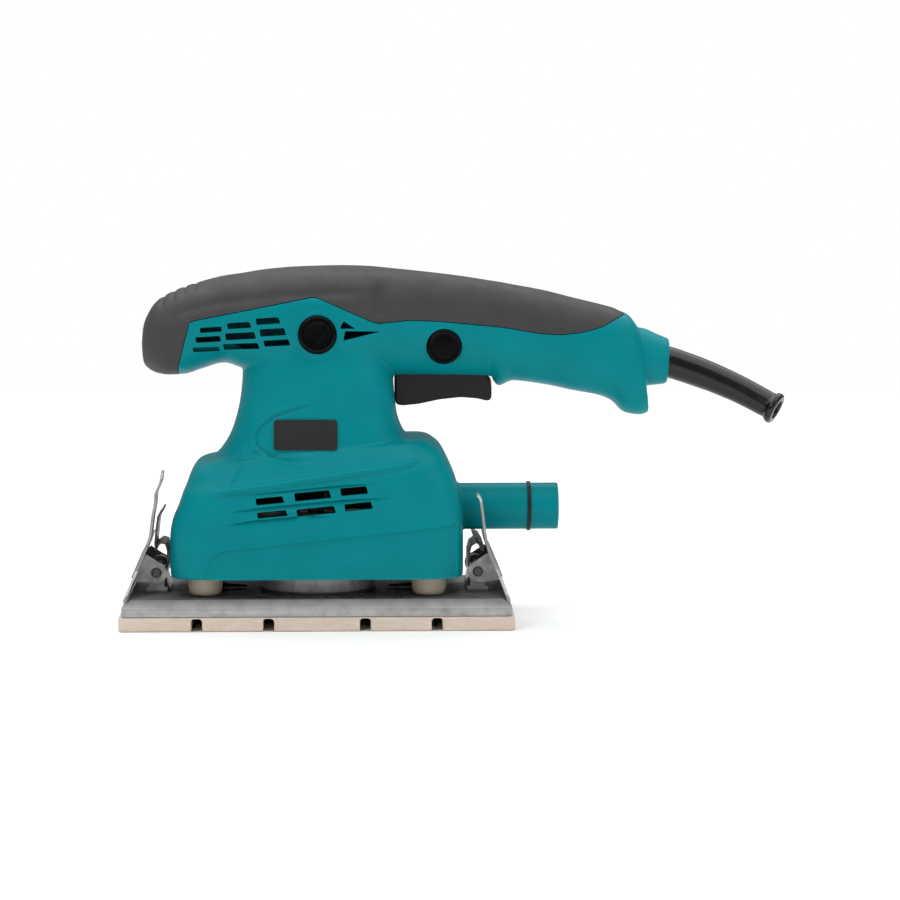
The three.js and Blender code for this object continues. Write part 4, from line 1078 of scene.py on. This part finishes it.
def sheet_metal(name, colour, roughness, metallic=.9, rolled=(1.4, .08, .3)):
    """Plated or oxidised sheet with rolling lines and a faint waviness."""
    recipe = Recipe(name, roughness, metallic=metallic)
    shades = [(.3, tinted(colour, .62)), (.5, colour), (.75, tinted(colour, 1.3))]
    tone = recipe.ramp(recipe.noise(6, 5, .6), shades)
    # Paler convex edges: edge wear and a painted edge highlight, stronger on the more metallic sheets
    edge_paling = .35 if metallic > .8 else .12
    recipe.colour(recipe.worn_and_highlit_edges(tone, (.85, .85, .84, 1), .52, .6, edge_paling))
    recipe.roughness(recipe.span(recipe.noise(2.5, 4), .3, .7, roughness - .1, roughness + .12))
    recipe.bump(recipe.noise(1.2, 4, .6, recipe.stretched(rolled)), .03, .7)
    recipe.bump(recipe.noise(5, 2), .06, .3)
    return recipe.material


def felt(name, colour):
    """Dense pale pad edge: fine fibres, warm blotches and scattered specks."""
    recipe = Recipe(name, .95, sheen=.25, specular=.2)
    layers = recipe.noise(4, 5, .65, recipe.stretched((.35, .35, 1.8)))
    shades = [(.3, tinted(colour, 1.02, .93, .86)), (.5, colour), (.7, tinted(colour, 1.12))]
    base = recipe.ramp(layers, shades)
    specks = recipe.ramp(recipe.noise(.7, 3, .7), [(.3, (.55, .5, .45, 1)), (.4, grey(1))])
    recipe.colour(recipe.mix(.6, base, specks, "MULTIPLY"))
    recipe.bump(recipe.noise(.5, 4, .7), .16, .8)
    recipe.bump(recipe.cells(1.1), .1, .4)
    return recipe.material


def make_materials():
    made = {}
    for name, (colour, *looks) in MOULDED.items():
        pale = linear(*EDGE_WEAR_HIGHLIGHT_TINTS[name]) if name in EDGE_WEAR_HIGHLIGHT_TINTS else None
        made[name] = moulded(name, linear(*colour), *looks, pale=pale)
    for name, (colour, *looks) in SHEET_METALS.items():
        made[name] = sheet_metal(name, (*colour, 1), *looks)
    made["cast_alloy"] = cast_metal("cast_alloy", grey(CAST_GREY))
    made["pad_felt"] = felt("pad_felt", linear(*FELT_COLOUR))
    return made


MATERIALS = make_materials()


def paint(obj, slot):
    obj.data.materials.clear()
    obj.data.materials.append(MATERIALS[slot])


def node_slots():
    """Material slot of each CAD node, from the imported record."""
    return {part["node"]: part["material_slot"] for part in frame["record"]["subparts"]}


def dress_cad_nodes():
    """Gives every CAD node its procedural material, and the ones kept in view a soft edge."""
    slots = node_slots()
    for name, node in NODES.items():
        paint(node, slots[name])
        if name in EDGE_WIDTHS:
            soft_edge(node, EDGE_WIDTHS[name])
        shade(node, 32)


# ---- camera, light and floor ----
def camera():
    """Long lens at the angle of the photograph."""
    data = bpy.data.cameras.new("camera")
    data.sensor_width = CAMERA["sensor"]
    data.lens = CAMERA["lens"]
    data.clip_start = CAMERA["near"]
    data.clip_end = CAMERA["far"]
    made = bpy.data.objects.new("camera", data)
    bpy.context.scene.collection.objects.link(made)
    place = Vector(CAMERA["place"]) * MM
    aim = Vector(CAMERA["aim"]) * MM
    made.location = place
    made.rotation_euler = (aim - place).to_track_quat("-Z", "Y").to_euler()
    bpy.context.scene.camera = made


def area_light(name, place, aim, size, power):
    data = bpy.data.lights.new(name, "AREA")
    data.shape = "RECTANGLE"
    data.size, data.size_y = size
    data.energy = power
    made = bpy.data.objects.new(name, data)
    bpy.context.scene.collection.objects.link(made)
    made.location = place
    made.rotation_euler = (Vector(aim) - Vector(place)).to_track_quat("-Z", "Y").to_euler()


def studio():
    """Pale floor that fades into a pale surround, with three broad soft lights."""
    rim = [(x, y, 0) for x, y in round_outline(FLOOR["centre"], FLOOR["radius"], 128)]
    floor = add_mesh("floor", rim, [tuple(range(len(rim)))])
    recipe = Recipe("floor", .8, specular=.1)
    recipe.colour(recipe.ramp(recipe.noise(400, 2), [(.2, grey(.93)), (.8, grey(.95))]))
    floor.data.materials.append(recipe.material)
    world = bpy.data.worlds.new("surround")
    bpy.context.scene.world = world
    world.use_nodes = True
    nodes, links = world.node_tree.nodes, world.node_tree.links
    seen = nodes["Background"]
    seen.inputs["Color"].default_value = grey(1)
    seen.inputs["Strength"].default_value = 1
    lit = nodes.new("ShaderNodeBackground")
    lit.inputs["Color"].default_value = grey(1)
    lit.inputs["Strength"].default_value = SURROUND_LIGHT
    path = nodes.new("ShaderNodeLightPath")
    mixed = nodes.new("ShaderNodeMixShader")
    links.new(path.outputs["Is Camera Ray"], mixed.inputs["Fac"])
    links.new(lit.outputs[0], mixed.inputs[1])
    links.new(seen.outputs[0], mixed.inputs[2])
    links.new(mixed.outputs[0], nodes["World Output"].inputs["Surface"])
    bpy.context.scene.view_settings.view_transform = "Standard"
    for name, place, size, power in LIGHTS:
        area_light(name, place, LIGHT_AIM, size, power)


camera()
studio()
dress_cad_nodes()
housing_pieces()
brush_caps()
lock_button()
trigger()
cord_guard()
sanding_pad()
legs()
